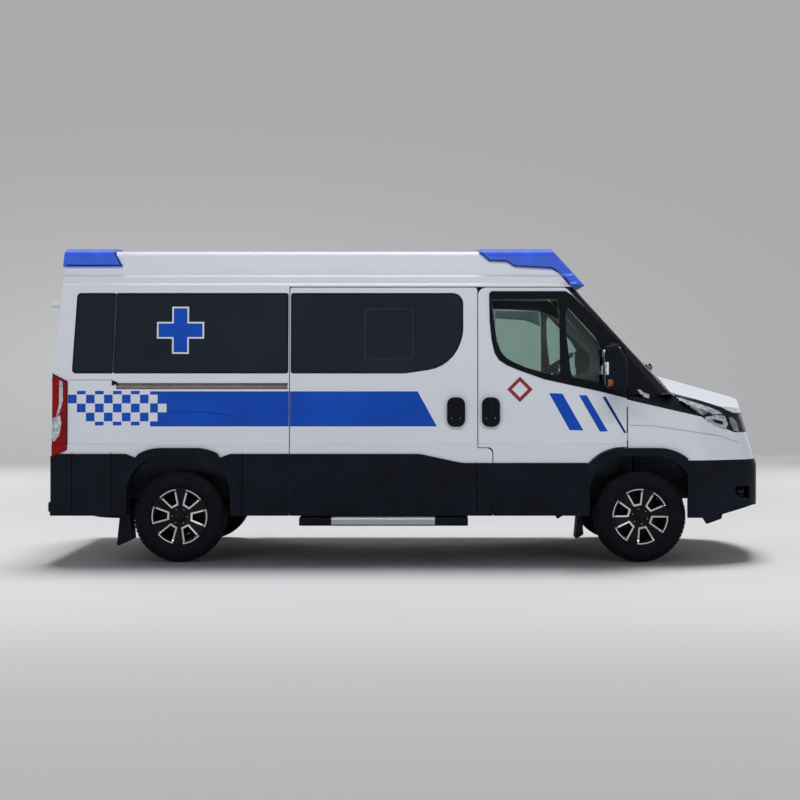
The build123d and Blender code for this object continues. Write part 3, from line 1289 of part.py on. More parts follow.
with BuildPart() as fuel_tank:
    tank = [
        (-420, 330, 60), (-420, 560, 40), (560, 560, 40), (560, 330, 60),
    ]
    add(side_prism(tank, 470, 840))
    for x in (-200, 350):
        add(block(x - 20, x + 20, RAIL_Y + RAIL_WIDTH / 2, 480, 500, 540))
finish(fuel_tank, "fuel_tank")

SPARE_X = -2330.0
SPARE_TOP_Z = RAIL_LOW_Z + 20.0 - SEAT_GAP
with BuildPart() as spare_wheel:
    with BuildSketch(Plane.XY.offset(SPARE_TOP_Z - 190)):
        with Locations((SPARE_X, 0)):
            Circle(TYRE_RADIUS - 10)
    extrude(amount=185)
    fillet(spare_wheel.edges().filter_by(GeomType.CIRCLE), 50)
    with BuildSketch(Plane.XY.offset(SPARE_TOP_Z - 20)):
        with Locations((SPARE_X, 0)):
            Circle(60)
    extrude(amount=20)
finish(spare_wheel, "spare_wheel")

# Mud flaps and the side step

FLAP_REAR_LINER_X = REAR_AXLE_X - LINER_OUT
REAR_FLAP = [
    (FLAP_REAR_LINER_X - 12, 560, 0),
    (FLAP_REAR_LINER_X, 560, 0),
    (FLAP_REAR_LINER_X, 440, 0),
    (-2170, 440, 0),
    (-2143, 172, 12),
    (-2262, 120, 12),
]
FRONT_FLAP = [
    (1262, SILL_Z - SEAT_GAP, 0),
    (1296, SILL_Z - SEAT_GAP, 0),
    (1308, 212, 8),
    (1244, 172, 8),
]

FLAP_INNER_Y = BODY_HALF_WIDTH - 243

with BuildPart() as mud_flaps:
    for sign in SIDES.values():
        add(side_prism(REAR_FLAP, sign * FLAP_INNER_Y, sign * (INNER_Y - 6)))
        add(side_prism(FRONT_FLAP, sign * FLAP_INNER_Y, sign * (INNER_Y - 12)))
finish(mud_flaps, "mud_flaps")

STEP_REAR_X = -857.0
STEP_FRONT_X = 421.0
STEP_TOP_Z = 350.0
STEP_LOW_Z = 290.0
STEP_INNER_Y = BODY_HALF_WIDTH - 213
STEP_OUTER_Y = BODY_HALF_WIDTH + 67

with BuildPart() as side_step:
    tread = [(-STEP_OUTER_Y, STEP_LOW_Z, 14), (-STEP_OUTER_Y, STEP_TOP_Z, 14),
             (-STEP_INNER_Y, STEP_TOP_Z, 8), (-STEP_INNER_Y, STEP_LOW_Z, 8)]
    add(front_prism(tread, STEP_REAR_X, STEP_FRONT_X))
    for x in (-600, 200):
        add(block(x - 30, x + 30, -STEP_INNER_Y - 20, -435, 310, 340))
        add(block(x - 30, x + 30, -465, -435, 310, RAIL_LOW_Z + 40))
finish(side_step, "side_step")

# Cab interior

DASHBOARD = [
    (FIREWALL_X, 900, 0),
    (FIREWALL_X, COWL_LOW_Z - 2, 0),
    (1638, COWL_LOW_Z - 2, 0),
    (1638, 1430, 30),
    (1500, 1462, 60),
    (1330, 1400, 50),
    (1270, 1240, 60),
    (1390, 1060, 60),
    (1460, 900, 40),
]
DASHBOARD_HALF_WIDTH = BODY_HALF_WIDTH - 103
WHEEL_Y = 450.0
COLUMN = Plane(origin=(1180, WHEEL_Y, 1500), z_dir=(-0.55, 0, 0.84))
COLUMN_RADIUS = 30.0
COLUMN_LENGTH = 260.0

with BuildPart() as dashboard:
    add(side_prism(DASHBOARD, -DASHBOARD_HALF_WIDTH, DASHBOARD_HALF_WIDTH))
    with BuildSketch(COLUMN.offset(-COLUMN_LENGTH - SEAT_GAP)):
        Circle(COLUMN_RADIUS + SEAT_GAP)
    extrude(amount=COLUMN_LENGTH, mode=Mode.SUBTRACT)
finish(dashboard, "dashboard")

STEERING_RADIUS = 200.0
STEERING_GRIP_RADIUS = 15.0
with BuildPart() as steering_wheel:
    with BuildSketch(Plane(origin=COLUMN.origin, x_dir=COLUMN.z_dir, z_dir=(0, 1, 0))):
        with Locations((0, STEERING_RADIUS)):
            Circle(STEERING_GRIP_RADIUS)
    revolve(axis=Axis(COLUMN.origin, COLUMN.z_dir))
    with BuildSketch(COLUMN.offset(-40)):
        Circle(52)
    extrude(amount=42)
    with BuildSketch(COLUMN.offset(-22)):
        Rectangle(34, 2 * STEERING_RADIUS)
        with Locations((STEERING_RADIUS / 2, 0)):
            Rectangle(STEERING_RADIUS, 40)
    extrude(amount=14)
    with BuildSketch(COLUMN.offset(-COLUMN_LENGTH)):
        Circle(COLUMN_RADIUS)
    extrude(amount=COLUMN_LENGTH - 30)
finish(steering_wheel, "steering_wheel")

SEAT_Y = 450.0
SEAT_WIDTH = 500.0
SEAT_SIDE = [
    (620, CAB_FLOOR_TOP_Z, 0),
    (620, 1020, 0),
    (590, 1040, 20),
    (500, 1700, 40),
    (480, 1880, 30),
    (570, 1890, 30),
    (600, 1700, 30),
    (700, 1210, 60),
    (1120, 1240, 60),
    (1120, 1110, 40),
    (1040, 1090, 0),
    (1040, CAB_FLOOR_TOP_Z, 0),
]
with BuildPart() as seats:
    for sign in SIDES.values():
        add(side_prism(SEAT_SIDE, sign * SEAT_Y - SEAT_WIDTH / 2, sign * SEAT_Y + SEAT_WIDTH / 2))
finish(seats, "seats")
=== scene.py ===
import math

import bmesh
import bpy
from mathutils import Matrix, Vector
from mathutils.bvhtree import BVHTree
from mathutils.geometry import tessellate_polygon


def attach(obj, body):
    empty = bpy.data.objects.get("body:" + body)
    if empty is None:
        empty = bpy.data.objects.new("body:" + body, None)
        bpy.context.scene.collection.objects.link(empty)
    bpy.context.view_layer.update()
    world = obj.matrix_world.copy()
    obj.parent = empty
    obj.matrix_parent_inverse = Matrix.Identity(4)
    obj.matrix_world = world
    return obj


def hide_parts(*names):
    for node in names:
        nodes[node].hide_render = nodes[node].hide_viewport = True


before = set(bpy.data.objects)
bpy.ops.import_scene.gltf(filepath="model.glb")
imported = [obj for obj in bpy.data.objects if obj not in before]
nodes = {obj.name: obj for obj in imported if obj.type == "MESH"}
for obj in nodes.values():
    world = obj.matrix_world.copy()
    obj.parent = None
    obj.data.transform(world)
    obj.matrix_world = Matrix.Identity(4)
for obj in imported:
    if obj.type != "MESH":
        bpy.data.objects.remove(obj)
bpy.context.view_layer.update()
scene = bpy.context.scene
sides = {"right": -1, "left": 1}
mm = 0.001  # every size below is in millimetres, as in the CAD source
print("stage: frame loaded with", len(nodes), "nodes")


# Colours, nodes and materials

def linear(hexText):  # an sRGB hex value as the linear colour that the shader wants
    channels = [int(hexText[i:i + 2], 16) / 255 for i in (1, 3, 5)]
    return tuple(c / 12.92 if c <= 0.04045 else ((c + 0.055) / 1.055) ** 2.4 for c in channels) + (1.0,)


def addNode(tree, kind, inputs=None, **settings):
    # A socket as a value makes a link, and anything else is set on the input.
    made = tree.nodes.new(kind)
    for key, value in settings.items():
        setattr(made, key, value)
    for key, value in (inputs or {}).items():
        if isinstance(value, bpy.types.NodeSocket):
            tree.links.new(value, made.inputs[key])
        else:
            made.inputs[key].default_value = value
    return made


def newMaterial(name, colour, roughness, metallic=0.0, **constants):
    material = bpy.data.materials.new(name)
    material.use_nodes = True
    material.diffuse_color = linear(colour)
    shader = material.node_tree.nodes["Principled BSDF"]
    shader.inputs["Base Color"].default_value = linear(colour)
    shader.inputs["Roughness"].default_value = roughness
    shader.inputs["Metallic"].default_value = metallic
    for key, value in constants.items():
        shader.inputs[key.replace("_", " ")].default_value = value
    return material


def patternOf(material, kind, scaleMm):
    # A pattern on Object coordinates whose features are about scaleMm across.
    tree = material.node_tree
    place = addNode(tree, "ShaderNodeTexCoord")
    return addNode(tree, kind, {"Vector": place.outputs["Object"], "Scale": 1000 / scaleMm})


def addGrain(material, scaleMm, depthMm, kind="ShaderNodeTexNoise"):
    tree = material.node_tree
    grain = patternOf(material, kind, scaleMm)
    bump = addNode(tree, "ShaderNodeBump",
                   {"Height": grain.outputs[0], "Distance": depthMm * mm, "Strength": 1.0})
    tree.links.new(bump.outputs["Normal"], tree.nodes["Principled BSDF"].inputs["Normal"])


def varyColour(material, scaleMm, lowHex, highHex):
    # Slow drift between two close colours, as dust and hand marks give.
    tree = material.node_tree
    drift = patternOf(material, "ShaderNodeTexNoise", scaleMm)
    drift.inputs["Detail"].default_value = 3.0
    ramp = addNode(tree, "ShaderNodeValToRGB", {"Fac": drift.outputs["Fac"]})
    ramp.color_ramp.elements[0].position = 0.35
    ramp.color_ramp.elements[0].color = linear(lowHex)
    ramp.color_ramp.elements[1].position = 0.68
    ramp.color_ramp.elements[1].color = linear(highHex)
    tree.links.new(ramp.outputs["Color"], tree.nodes["Principled BSDF"].inputs["Base Color"])


def varyRoughness(material, scaleMm, low, high):
    tree = material.node_tree
    wear = patternOf(material, "ShaderNodeTexNoise", scaleMm)
    spread = addNode(tree, "ShaderNodeMapRange",
                     {"Value": wear.outputs["Fac"], "From Min": 0.3, "From Max": 0.7, "To Min": low,
                      "To Max": high})
    tree.links.new(spread.outputs["Result"], tree.nodes["Principled BSDF"].inputs["Roughness"])


# Two-pack enamel under clear coat: bright and glossy, with faint orange peel and road film
bodyEnamel = newMaterial("bodyEnamel", "#E0E5EE", 0.45, Specular_IOR_Level=0.3, Coat_Weight=0.06,
                         Coat_Roughness=0.2)
varyColour(bodyEnamel, 1500, "#DEE3EC", "#E2E7F0")
addGrain(bodyEnamel, 6, 0.015)

# Polypropylene moulded with a fine grain: near black, and a soft sheen on its edges
mouldedBlack = newMaterial("mouldedBlack", "#0E121C", 0.58, Specular_IOR_Level=0.10)
varyColour(mouldedBlack, 260, "#0B0F18", "#121724")
addGrain(mouldedBlack, 3, 0.12)

# ABS painted satin black: smoother than the cladding
satinBlack = newMaterial("satinBlack", "#080B12", 0.38, Specular_IOR_Level=0.14)
varyRoughness(satinBlack, 120, 0.28, 0.42)

# Solar-tinted body glass with a ceramic print behind it: reads almost black
privacyGlass = newMaterial("privacyGlass", "#1B212D", 0.12, Specular_IOR_Level=0.2)
varyColour(privacyGlass, 700, "#181E29", "#1E2532")

# Green float glass: clear with a cool tint, and mirror-smooth
greenGlass = newMaterial("greenGlass", "#C9DED8", 0.02, Transmission_Weight=1.0, IOR=1.45)
varyRoughness(greenGlass, 300, 0.01, 0.03)

# Acrylic visor in smoke grey over the door glass
smokedAcrylic = newMaterial("smokedAcrylic", "#6C777C", 0.05, Transmission_Weight=1.0, IOR=1.2)
varyRoughness(smokedAcrylic, 300, 0.04, 0.08)

# Rubber-edged glass bead: dark grey, lighter than the glass, with a soft line of light painted into its
# colour as a painted highlight
glassBeadHighlight = newMaterial("glassBeadHighlight", "#333D45", 0.3, Specular_IOR_Level=0.3)
varyColour(glassBeadHighlight, 300, "#2F3941", "#39434B")

# Polycarbonate lens in signal blue: deep colour with fine ribs inside
blueLens = newMaterial("blueLens", "#3162E6", 0.36, Specular_IOR_Level=0.25)
varyColour(blueLens, 200, "#2C5CDC", "#3A6CF4")
addGrain(blueLens, 10, 0.3, "ShaderNodeTexWave")

# Polycarbonate lens in red for the tail lamps
redLens = newMaterial("redLens", "#8E0A12", 0.4, Specular_IOR_Level=0.12)
varyColour(redLens, 90, "#800910", "#9C0D16")
addGrain(redLens, 8, 0.2, "ShaderNodeTexWave")

# Clear polycarbonate over silvered reflectors: pale grey with sharp glints
lampReflector = newMaterial("lampReflector", "#B4BAC3", 0.38, 0.3, Specular_IOR_Level=0.4)
varyColour(lampReflector, 25, "#8E959F", "#D3D8DF")

# Dark bezel inside a lamp, under its clear cover
lampBezel = newMaterial("lampBezel", "#0B0D12", 0.2, Specular_IOR_Level=0.2, Coat_Weight=0.1,
                        Coat_Roughness=0.05)
varyRoughness(lampBezel, 60, 0.16, 0.28)

# Amber polycarbonate for the turn signals
amberLens = newMaterial("amberLens", "#8A4A22", 0.25, Coat_Weight=0.3, Coat_Roughness=0.05)
varyColour(amberLens, 15, "#7A3C18", "#9A5A2C")

# Tyre rubber: carbon black with a matt, slightly dusty surface
tyreRubber = newMaterial("tyreRubber", "#0B0D13", 0.76, Specular_IOR_Level=0.12)
varyColour(tyreRubber, 60, "#090A10", "#101219")
addGrain(tyreRubber, 5, 0.25)

# Cast aluminium wheel in gloss black
blackAlloy = newMaterial("blackAlloy", "#040508", 0.4, Specular_IOR_Level=0.15)
varyRoughness(blackAlloy, 80, 0.34, 0.46)

# Turned faces of the wheel: bare aluminium with fine lathe lines
turnedAluminium = newMaterial("turnedAluminium", "#C9CCD2", 0.24, 0.9)
addGrain(turnedAluminium, 2, 0.03)

# Chromed trim: bright and slightly cool
chromeTrim = newMaterial("chromeTrim", "#D9DCE2", 0.12, 1.0)
varyRoughness(chromeTrim, 40, 0.08, 0.18)

# Extruded aluminium tread with an anodised finish
anodisedTread = newMaterial("anodisedTread", "#A9ADB3", 0.36, 0.85)
addGrain(anodisedTread, 3, 0.05)

# Cast iron and raw steel below: brown-black, rough
darkIron = newMaterial("darkIron", "#121111", 0.7, 0.2, Specular_IOR_Level=0.2)
varyColour(darkIron, 70, "#0F0E0E", "#1C1918")
addGrain(darkIron, 6, 0.4)

# Electrocoated chassis steel: black, slightly glossy
coatedSteel = newMaterial("coatedSteel", "#08090B", 0.6, Specular_IOR_Level=0.15)
varyColour(coatedSteel, 150, "#060709", "#0D0E11")
addGrain(coatedSteel, 12, 0.2)

# Carpet-like liner in the rear arches: grey-black felt
linerFelt = newMaterial("linerFelt", "#4B4F57", 0.95, Specular_IOR_Level=0.1)
varyColour(linerFelt, 12, "#40444B", "#575B63")
addGrain(linerFelt, 4, 0.8)

# Blue vinyl film laid on the enamel: even colour, a little less gloss
blueFilm = newMaterial("blueFilm", "#0A4CBC", 0.4, Specular_IOR_Level=0.2)
varyColour(blueFilm, 500, "#0848B4", "#0D51C4")
navyFilm = newMaterial("navyFilm", "#04297F", 0.4, Specular_IOR_Level=0.2)
varyColour(navyFilm, 300, "#042678", "#062D88")

# White reflective film under and between the blue shapes
whiteFilm = newMaterial("whiteFilm", "#E4E7EC", 0.36, Coat_Weight=0.3, Coat_Roughness=0.1)
varyColour(whiteFilm, 300, "#DFE2E8", "#E8EBEF")
redFilm = newMaterial("redFilm", "#8E1420", 0.36, Coat_Weight=0.3, Coat_Roughness=0.1)
varyColour(redFilm, 120, "#86121D", "#961824")

# Galvanised rail seen in its slot: dull beige grey
railZinc = newMaterial("railZinc", "#7E7871", 0.55, 0.2)
varyColour(railZinc, 120, "#746E68", "#88827B")

# Woven seat cloth: dark grey threads about a millimetre apart, drawn coarser so that they show
seatCloth = newMaterial("seatCloth", "#24272D", 0.85, Sheen_Weight=0.25)
varyColour(seatCloth, 14, "#1D2025", "#2E3238")
addGrain(seatCloth, 5, 0.6, "ShaderNodeTexVoronoi")

# Slush-moulded dashboard skin with a leather grain
dashSkin = newMaterial("dashSkin", "#1B1D20", 0.6)
varyColour(dashSkin, 200, "#17191C", "#22252A")
addGrain(dashSkin, 4, 0.3, "ShaderNodeTexVoronoi")

# Wall lining and door cards of moulded sheet: pale grey and matt
liningPanel = newMaterial("liningPanel", "#AEB4BA", 0.5)
varyColour(liningPanel, 220, "#AAB0B6", "#B2B8BE")

# Pressed creases in the skin: strips of darker enamel colour, painted shade where the skin turns away from
# the light
creaseShadeEnamel = newMaterial("creaseShadeEnamel", "#A3ABBB", 0.4)
varyColour(creaseShadeEnamel, 400, "#9CA4B4", "#AAB2C2")

# Painted shade in darker blue where the stripe goes over the wheel arch's crease
creaseShadeFilm = newMaterial("creaseShadeFilm", "#083593", 0.5, Specular_IOR_Level=0.1)
varyColour(creaseShadeFilm, 200, "#073189", "#0A3A9D")

# Second-surface mirror: silvered, with a faint blue cast
mirrorSilver = newMaterial("mirrorSilver", "#C9D2DC", 0.04, 1.0)
varyRoughness(mirrorSilver, 90, 0.03, 0.07)

# Blank reflective plate: white sheet with a fine bead texture
plateSheet = newMaterial("plateSheet", "#DADCDD", 0.42, Coat_Weight=0.2)
addGrain(plateSheet, 3, 0.03)

# Zinc-plated wheel nuts, dull with brake dust
dullZinc = newMaterial("dullZinc", "#6A6E75", 0.4, 0.7)
varyColour(dullZinc, 30, "#5E6268", "#767A82")

# Painted shade for open joints and openings between mouldings: near black, as where no light comes back out
shadowGap = newMaterial("shadowGap", "#040506", 0.95, Specular_IOR_Level=0.0)
varyColour(shadowGap, 60, "#030405", "#06070A")

# Grey smoked lens at the lamp's outer corner
greyLens = newMaterial("greyLens", "#79818C", 0.3, 0.2, Specular_IOR_Level=0.4)
varyColour(greyLens, 40, "#5E6672", "#98A0AB")

finishes = {
    bodyEnamel: ["roof", "side_wall_right", "side_wall_left", "rear_sill", "bonnet", "front_wings",
                 "sliding_door", "front_door_right", "front_door_left", "rear_door_right", "rear_door_left"],
    satinBlack: ["windscreen_frame", "grille", "sliding_door_handle"],
    mouldedBlack: ["lower_cladding", "front_bumper", "rear_bumper", "mud_flaps", "side_step", "fuel_tank",
                   "front_door_trim_right", "front_door_trim_left"],
    linerFelt: ["arch_liners"],
    privacyGlass: ["side_glass", "rear_door_glass_right", "rear_door_glass_left"],
    greenGlass: ["windscreen", "front_door_glass_right", "front_door_glass_left"],
    blueLens: ["roof_lamp_front", "roof_lamps_rear"],
    redLens: ["tail_lamps"],
    lampBezel: ["headlamps"],
    tyreRubber: ["spare_wheel", "tyre_front_right", "tyre_front_left", "tyre_rear_right", "tyre_rear_left"],
    blackAlloy: ["rim_front_right", "rim_front_left", "rim_rear_right", "rim_rear_left"],
    darkIron: ["engine", "exhaust", "knuckle_right", "knuckle_left", "rear_axle"],
    coatedSteel: ["chassis_frame", "front_suspension", "leaf_springs", "sills"],
    dashSkin: ["dashboard", "steering_wheel", "cab_floor", "door_pillars"],
    liningPanel: ["load_floor", "partition"],
    seatCloth: ["seats"],
}
for material, names in finishes.items():
    for name in names:
        nodes[name].data.materials.clear()
        nodes[name].data.materials.append(material)
print("stage: finishes on the CAD nodes")


# Helpers that make pieces

def meshOf(name, builder):
    mesh = bpy.data.meshes.new(name)
    builder.to_mesh(mesh)
    builder.free()
    return mesh


def inScene(name, data):
    made = bpy.data.objects.new(name, data)
    scene.collection.objects.link(made)
    return made


def frozen(maker):  # the object's mesh as its modifiers leave it
    bpy.context.view_layer.update()
    return bpy.data.meshes.new_from_object(maker.evaluated_get(bpy.context.evaluated_depsgraph_get()))


def asPiece(name, mesh, body):
    piece = inScene(name, mesh)
    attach(piece, body)
    return piece


def addPiece(name, builder, material, body):
    mesh = meshOf(name, builder)
    mesh.materials.append(material)
    return asPiece(name, mesh, body)


def smooth(piece, sharpAngle=0.6):
    for face in piece.data.polygons:
        face.use_smooth = True
    piece.data.set_sharp_from_angle(angle=sharpAngle)
    return piece


skinTrees = {}


def skinOf(names):  # a tree for finding where a ray meets these CAD nodes
    key = tuple(names)
    if key not in skinTrees:
        builder = bmesh.new()
        for name in names:
            builder.from_mesh(nodes[name].data)
        skinTrees[key] = BVHTree.FromBMesh(builder)
        builder.free()
    return skinTrees[key]


def rounded(corners, steps=6):
    # Outline corners, each with its radius, as points.
    points = []
    for k, (a, b, radius) in enumerate(corners):
        here = Vector((a, b))
        before = (Vector(corners[k - 1][:2]) - here).normalized()
        after = (Vector(corners[(k + 1) % len(corners)][:2]) - here).normalized()
        half = math.acos(max(-1, min(1, before.dot(after)))) / 2
        if not radius or half > 1.55:
            points.append((a, b))
            continue
        centre = here + (before + after).normalized() * (radius / math.sin(half))
        start, stop = (here + ray * (radius / math.tan(half)) - centre for ray in (before, after))
        first, last = math.atan2(start.y, start.x), math.atan2(stop.y, stop.x)
        sweep = (last - first + math.pi) % (2 * math.pi) - math.pi
        for step in range(steps + 1):
            angle = first + sweep * step / steps
            points.append((centre.x + radius * math.cos(angle), centre.y + radius * math.sin(angle)))
    return points


def shifted(points, distance, closed=True):
    # The same line moved to the left of its direction.
    moved = []
    count = len(points)
    for k, point in enumerate(points):
        here = Vector(point)
        legs = []
        if closed or k:
            legs.append((here - Vector(points[k - 1])).normalized())
        if closed or k < count - 1:
            legs.append((Vector(points[(k + 1) % count]) - here).normalized())
        sideways = [Vector((-leg.y, leg.x)) for leg in legs]
        normal = sum(sideways, Vector((0, 0))).normalized()
        moved.append(tuple(here + normal * distance / max(0.5, normal.dot(sideways[0]))))
    return moved


def ring(points, outwards, inwards):  # a frame that follows a closed outline
    area = sum(a[0] * b[1] - b[0] * a[1] for a, b in zip(points, points[1:] + points[:1]))
    turn = -1 if area > 0 else 1
    return shifted(points, turn * outwards), [shifted(points, -turn * inwards)]


def ribbon(points, width):  # a strip that follows an open line
    return shifted(points, width / 2, False) + shifted(points, -width / 2, False)[::-1], []


def drape(name, shapes, material, body, skins, sign, lift, thickness, step=(60, 25), end=False,
          reach=1.3):
    # Flat outlines with holes, laid as a thin shell on the side (x and z) or the front or back (y and z).
    builder = bmesh.new()
    across, depth, far = (1, 0, 3.4) if end else (0, 1, 1.5)  # rays start this far from the middle, in metres

    def onPlane(a, z):
        place = Vector((0, 0, z * mm))
        place[across] = a * mm
        return place

    for outline, holes in shapes:
        loops = [[onPlane(a, z) for a, z in loop] for loop in [outline] + holes]
        corners = [builder.verts.new(p) for loop in loops for p in loop]
        for triangle in tessellate_polygon(loops):
            builder.faces.new([corners[i] for i in triangle])
    for axis, gap in ((across, step[0] * mm), (2, step[1] * mm)):
        normal = Vector([1 if k == axis else 0 for k in range(3)])
        spots = [v.co[axis] for v in builder.verts]
        for k in range(math.ceil(min(spots) / gap), math.floor(max(spots) / gap) + 1):
            geometry = builder.verts[:] + builder.edges[:] + builder.faces[:]
            bmesh.ops.bisect_plane(builder, geom=geometry, plane_co=normal * (k * gap), plane_no=normal,
                                   dist=1e-7)
    bmesh.ops.dissolve_degenerate(builder, dist=1e-5, edges=builder.edges[:])
    tree = skinOf(skins)
    inwards = Vector((-sign, 0, 0)) if end else Vector((0, -sign, 0))
    for vert in builder.verts:
        start = vert.co.copy()
        start[depth] = sign * far
        hit = tree.ray_cast(start, inwards, reach)[0] or tree.find_nearest(start + inwards * 0.5)[0]
        vert.co[depth] = hit[depth] + sign * lift * mm
    for face in builder.faces:
        face.normal_update()
        if face.normal[depth] * sign < 0:
            face.normal_flip()
    piece = addPiece(name, builder, material, body)
    shell = piece.modifiers.new("thickness", "SOLIDIFY")
    shell.thickness = thickness * mm
    shell.offset = 1.0
    return piece


def tube(name, points, radius, material, body, smoothPath=True):
    # A round bar through the points, in metres.
    curve = bpy.data.curves.new(name, "CURVE")
    curve.dimensions = "3D"
    curve.bevel_depth = radius
    curve.bevel_resolution = 3
    curve.use_fill_caps = True
    curve.resolution_u = 6
    line = curve.splines.new("NURBS" if smoothPath else "POLY")
    line.points.add(len(points) - 1)
    for spot, place in zip(line.points, points):
        spot.co = (*place, 1)
    if smoothPath:
        line.order_u = 3
        line.use_endpoint_u = True
    maker = inScene(name + "Path", curve)
    mesh = frozen(maker)
    bpy.data.objects.remove(maker)
    mesh.materials.clear()
    mesh.materials.append(material)
    return smooth(asPiece(name, mesh, body))


def joinLoops(builder, loops, around=False, capped=True):
    # Faces between neighbouring rings of vertices. The row of rings closes on itself, or its ends are capped.
    count = len(loops[0])
    for near, far in zip(loops, loops[1:] + (loops[:1] if around else [])):
        for k in range(count):
            follow = (k + 1) % count
            builder.faces.new([near[k], near[follow], far[follow], far[k]])
    if capped and not around:
        builder.faces.new(loops[0])
        builder.faces.new(loops[-1])
    bmesh.ops.recalc_face_normals(builder, faces=builder.faces[:])
    return builder


def turnedDisc(profile, centre, axis, sign, steps):
    # Radii and depths turned about an axle that points forwards (axis 0) or out of the side (axis 1).
    builder = bmesh.new()
    loops = []
    for radius, depth in profile:
        loops.append([])
        for k in range(steps):
            angle = 2 * math.pi * k / steps
            place = Vector(centre)
            place[axis] += sign * depth * mm
            place[1 - axis] += radius * mm * math.cos(angle)
            place[2] += radius * mm * math.sin(angle)
            loops[-1].append(builder.verts.new(place))
    return joinLoops(builder, loops)


def barOf(section, low, high):  # a section of y and z between two places along the vehicle
    builder = bmesh.new()
    loops = [[builder.verts.new((x * mm, y * mm, z * mm)) for y, z in section] for x in (low, high)]
    return joinLoops(builder, loops)


def knob(place, sign, radius, tip, length, segments):  # a short cone that points out of the side
    builder = bmesh.new()
    bmesh.ops.create_cone(builder, cap_ends=True, segments=segments, radius1=radius * mm, radius2=tip * mm,
                          depth=length * mm)
    outwards = Matrix.Translation(Vector(place) * mm) @ Matrix.Rotation(-sign * math.pi / 2, 4, "X")
    bmesh.ops.transform(builder, verts=builder.verts[:], matrix=outwards)
    return builder


def extruded(outline, low, high, axis):
    # A closed block: an outline on the other two axes, between two places along this one.
    builder = bmesh.new()
    corners = [[a * mm, b * mm] for a, b in outline]
    for corner in corners:
        corner.insert(axis, low * mm)
    face = builder.faces.new([builder.verts.new(corner) for corner in corners])
    for item in bmesh.ops.extrude_face_region(builder, geom=[face])["geom"]:
        if isinstance(item, bmesh.types.BMVert):
            item.co[axis] = high * mm
    bmesh.ops.recalc_face_normals(builder, faces=builder.faces[:])
    return builder


def slabPiece(name, outline, low, high, bevel, material, body, axis=1, segments=3):
    # A moulded plate with rounded edges: an outline of x and z between two places across the vehicle.
    builder = extruded(outline, low, high, axis)
    if bevel:
        edges = [e for e in builder.edges if e.calc_face_angle(0) > 0.5]
        bmesh.ops.bevel(builder, geom=edges, offset=bevel * mm, segments=segments, affect="EDGES",
                        profile=0.5)
    return smooth(addPiece(name, builder, material, body))


def planPiece(name, outline, low, high, bevel, material):
    # A black moulding on the body, with an outline of x and y between two heights.
    return slabPiece(name, outline, low, high, bevel, material, "body", axis=2, segments=2)


def repeatTree(name, around):
    # Geometry Nodes group that repeats the object's own mesh round an axle, or along a line.
    tree = bpy.data.node_groups.new(name, "GeometryNodeTree")
    stride = ("First angle", "Float") if around else ("Pitch", "Vector")
    for label, kind in (("Geometry", "Geometry"), ("Count", "Int"), stride, ("Place", "Vector"),
                        ("Finish", "Material")):
        tree.interface.new_socket(label, in_out="INPUT", socket_type="NodeSocket" + kind)
    tree.interface.new_socket("Geometry", in_out="OUTPUT", socket_type="NodeSocketGeometry")
    given = addNode(tree, "NodeGroupInput")
    index = addNode(tree, "GeometryNodeInputIndex")
    spots = {"Count": given.outputs["Count"]}
    placing = {"Instance": given.outputs["Geometry"]}
    if around:
        share = addNode(tree, "ShaderNodeMath", {0: 2 * math.pi, 1: given.outputs["Count"]},
                        operation="DIVIDE")
        turn = addNode(tree, "ShaderNodeMath", {0: index.outputs[0], 1: share.outputs[0],
                                                2: given.outputs["First angle"]}, operation="MULTIPLY_ADD")
        placing["Rotation"] = addNode(tree, "ShaderNodeCombineXYZ", {"Y": turn.outputs[0]}).outputs[0]
    else:
        spots["Position"] = addNode(tree, "ShaderNodeVectorMath", {0: given.outputs["Pitch"],
                                                                   "Scale": index.outputs[0]},
                                    operation="SCALE").outputs[0]
    placing["Points"] = addNode(tree, "GeometryNodePoints", spots).outputs[0]
    copies = addNode(tree, "GeometryNodeInstanceOnPoints", placing)
    moved = addNode(tree, "GeometryNodeTransform", {"Geometry": copies.outputs[0],
                                                    "Translation": given.outputs["Place"]})
    solid = addNode(tree, "GeometryNodeRealizeInstances", {"Geometry": moved.outputs[0]})
    painted = addNode(tree, "GeometryNodeSetMaterial", {"Geometry": solid.outputs[0],
                                                        "Material": given.outputs["Finish"]})
    addNode(tree, "NodeGroupOutput", {0: painted.outputs[0]})
    return tree


aroundTree = repeatTree("repeatAround", True)
alongTree = repeatTree("repeatAlong", False)


def repeatPiece(name, builder, tree, values, body):
    # Runs a repeat group on one small mesh and keeps the result as a plain mesh.
    maker = inScene(name + "Maker", meshOf(name, builder))
    run = maker.modifiers.new("repeat", "NODES")
    run.node_group = tree
    for item in tree.interface.items_tree:
        if item.in_out == "INPUT" and item.name in values:
            run[item.identifier] = values[item.name]
    result = frozen(maker)
    maker.modifiers.remove(run)
    bpy.data.objects.remove(maker)
    return asPiece(name, result, body)


# Films on the sides: stripe, chequers, cross, door stripes and diamond

film = {"lift": 0.4, "thickness": 0.35, "low": 1040, "top": 1307, "rear": -1998, "splitX": -937, "gap": 4.5,
        "frontTop": 40, "frontLow": 186}
chequer = {"pitch": 68.5, "gap": 3.0, "firstX": -2625, "firstRowTop": 1312, "rowTop": 1283, "rowHeight": 68.5}

bodySkins = {"right": ["side_wall_right", "sliding_door", "side_glass"],
             "left": ["side_wall_left", "side_glass"]}


def square(column, row):
    left = chequer["firstX"] + column * chequer["pitch"]
    if row == 0:
        top, low = chequer["firstRowTop"], chequer["rowTop"]
    elif row == 4:
        top, low = chequer["rowTop"] - 3 * chequer["rowHeight"], film["low"] + 6
    else:
        top = chequer["rowTop"] - (row - 1) * chequer["rowHeight"]
        low = top - chequer["rowHeight"]
    edge = chequer["gap"] / 2
    right = left + chequer["pitch"] - edge
    return [(left + edge, low + edge), (right, low + edge), (right, top - edge), (left + edge, top - edge)]


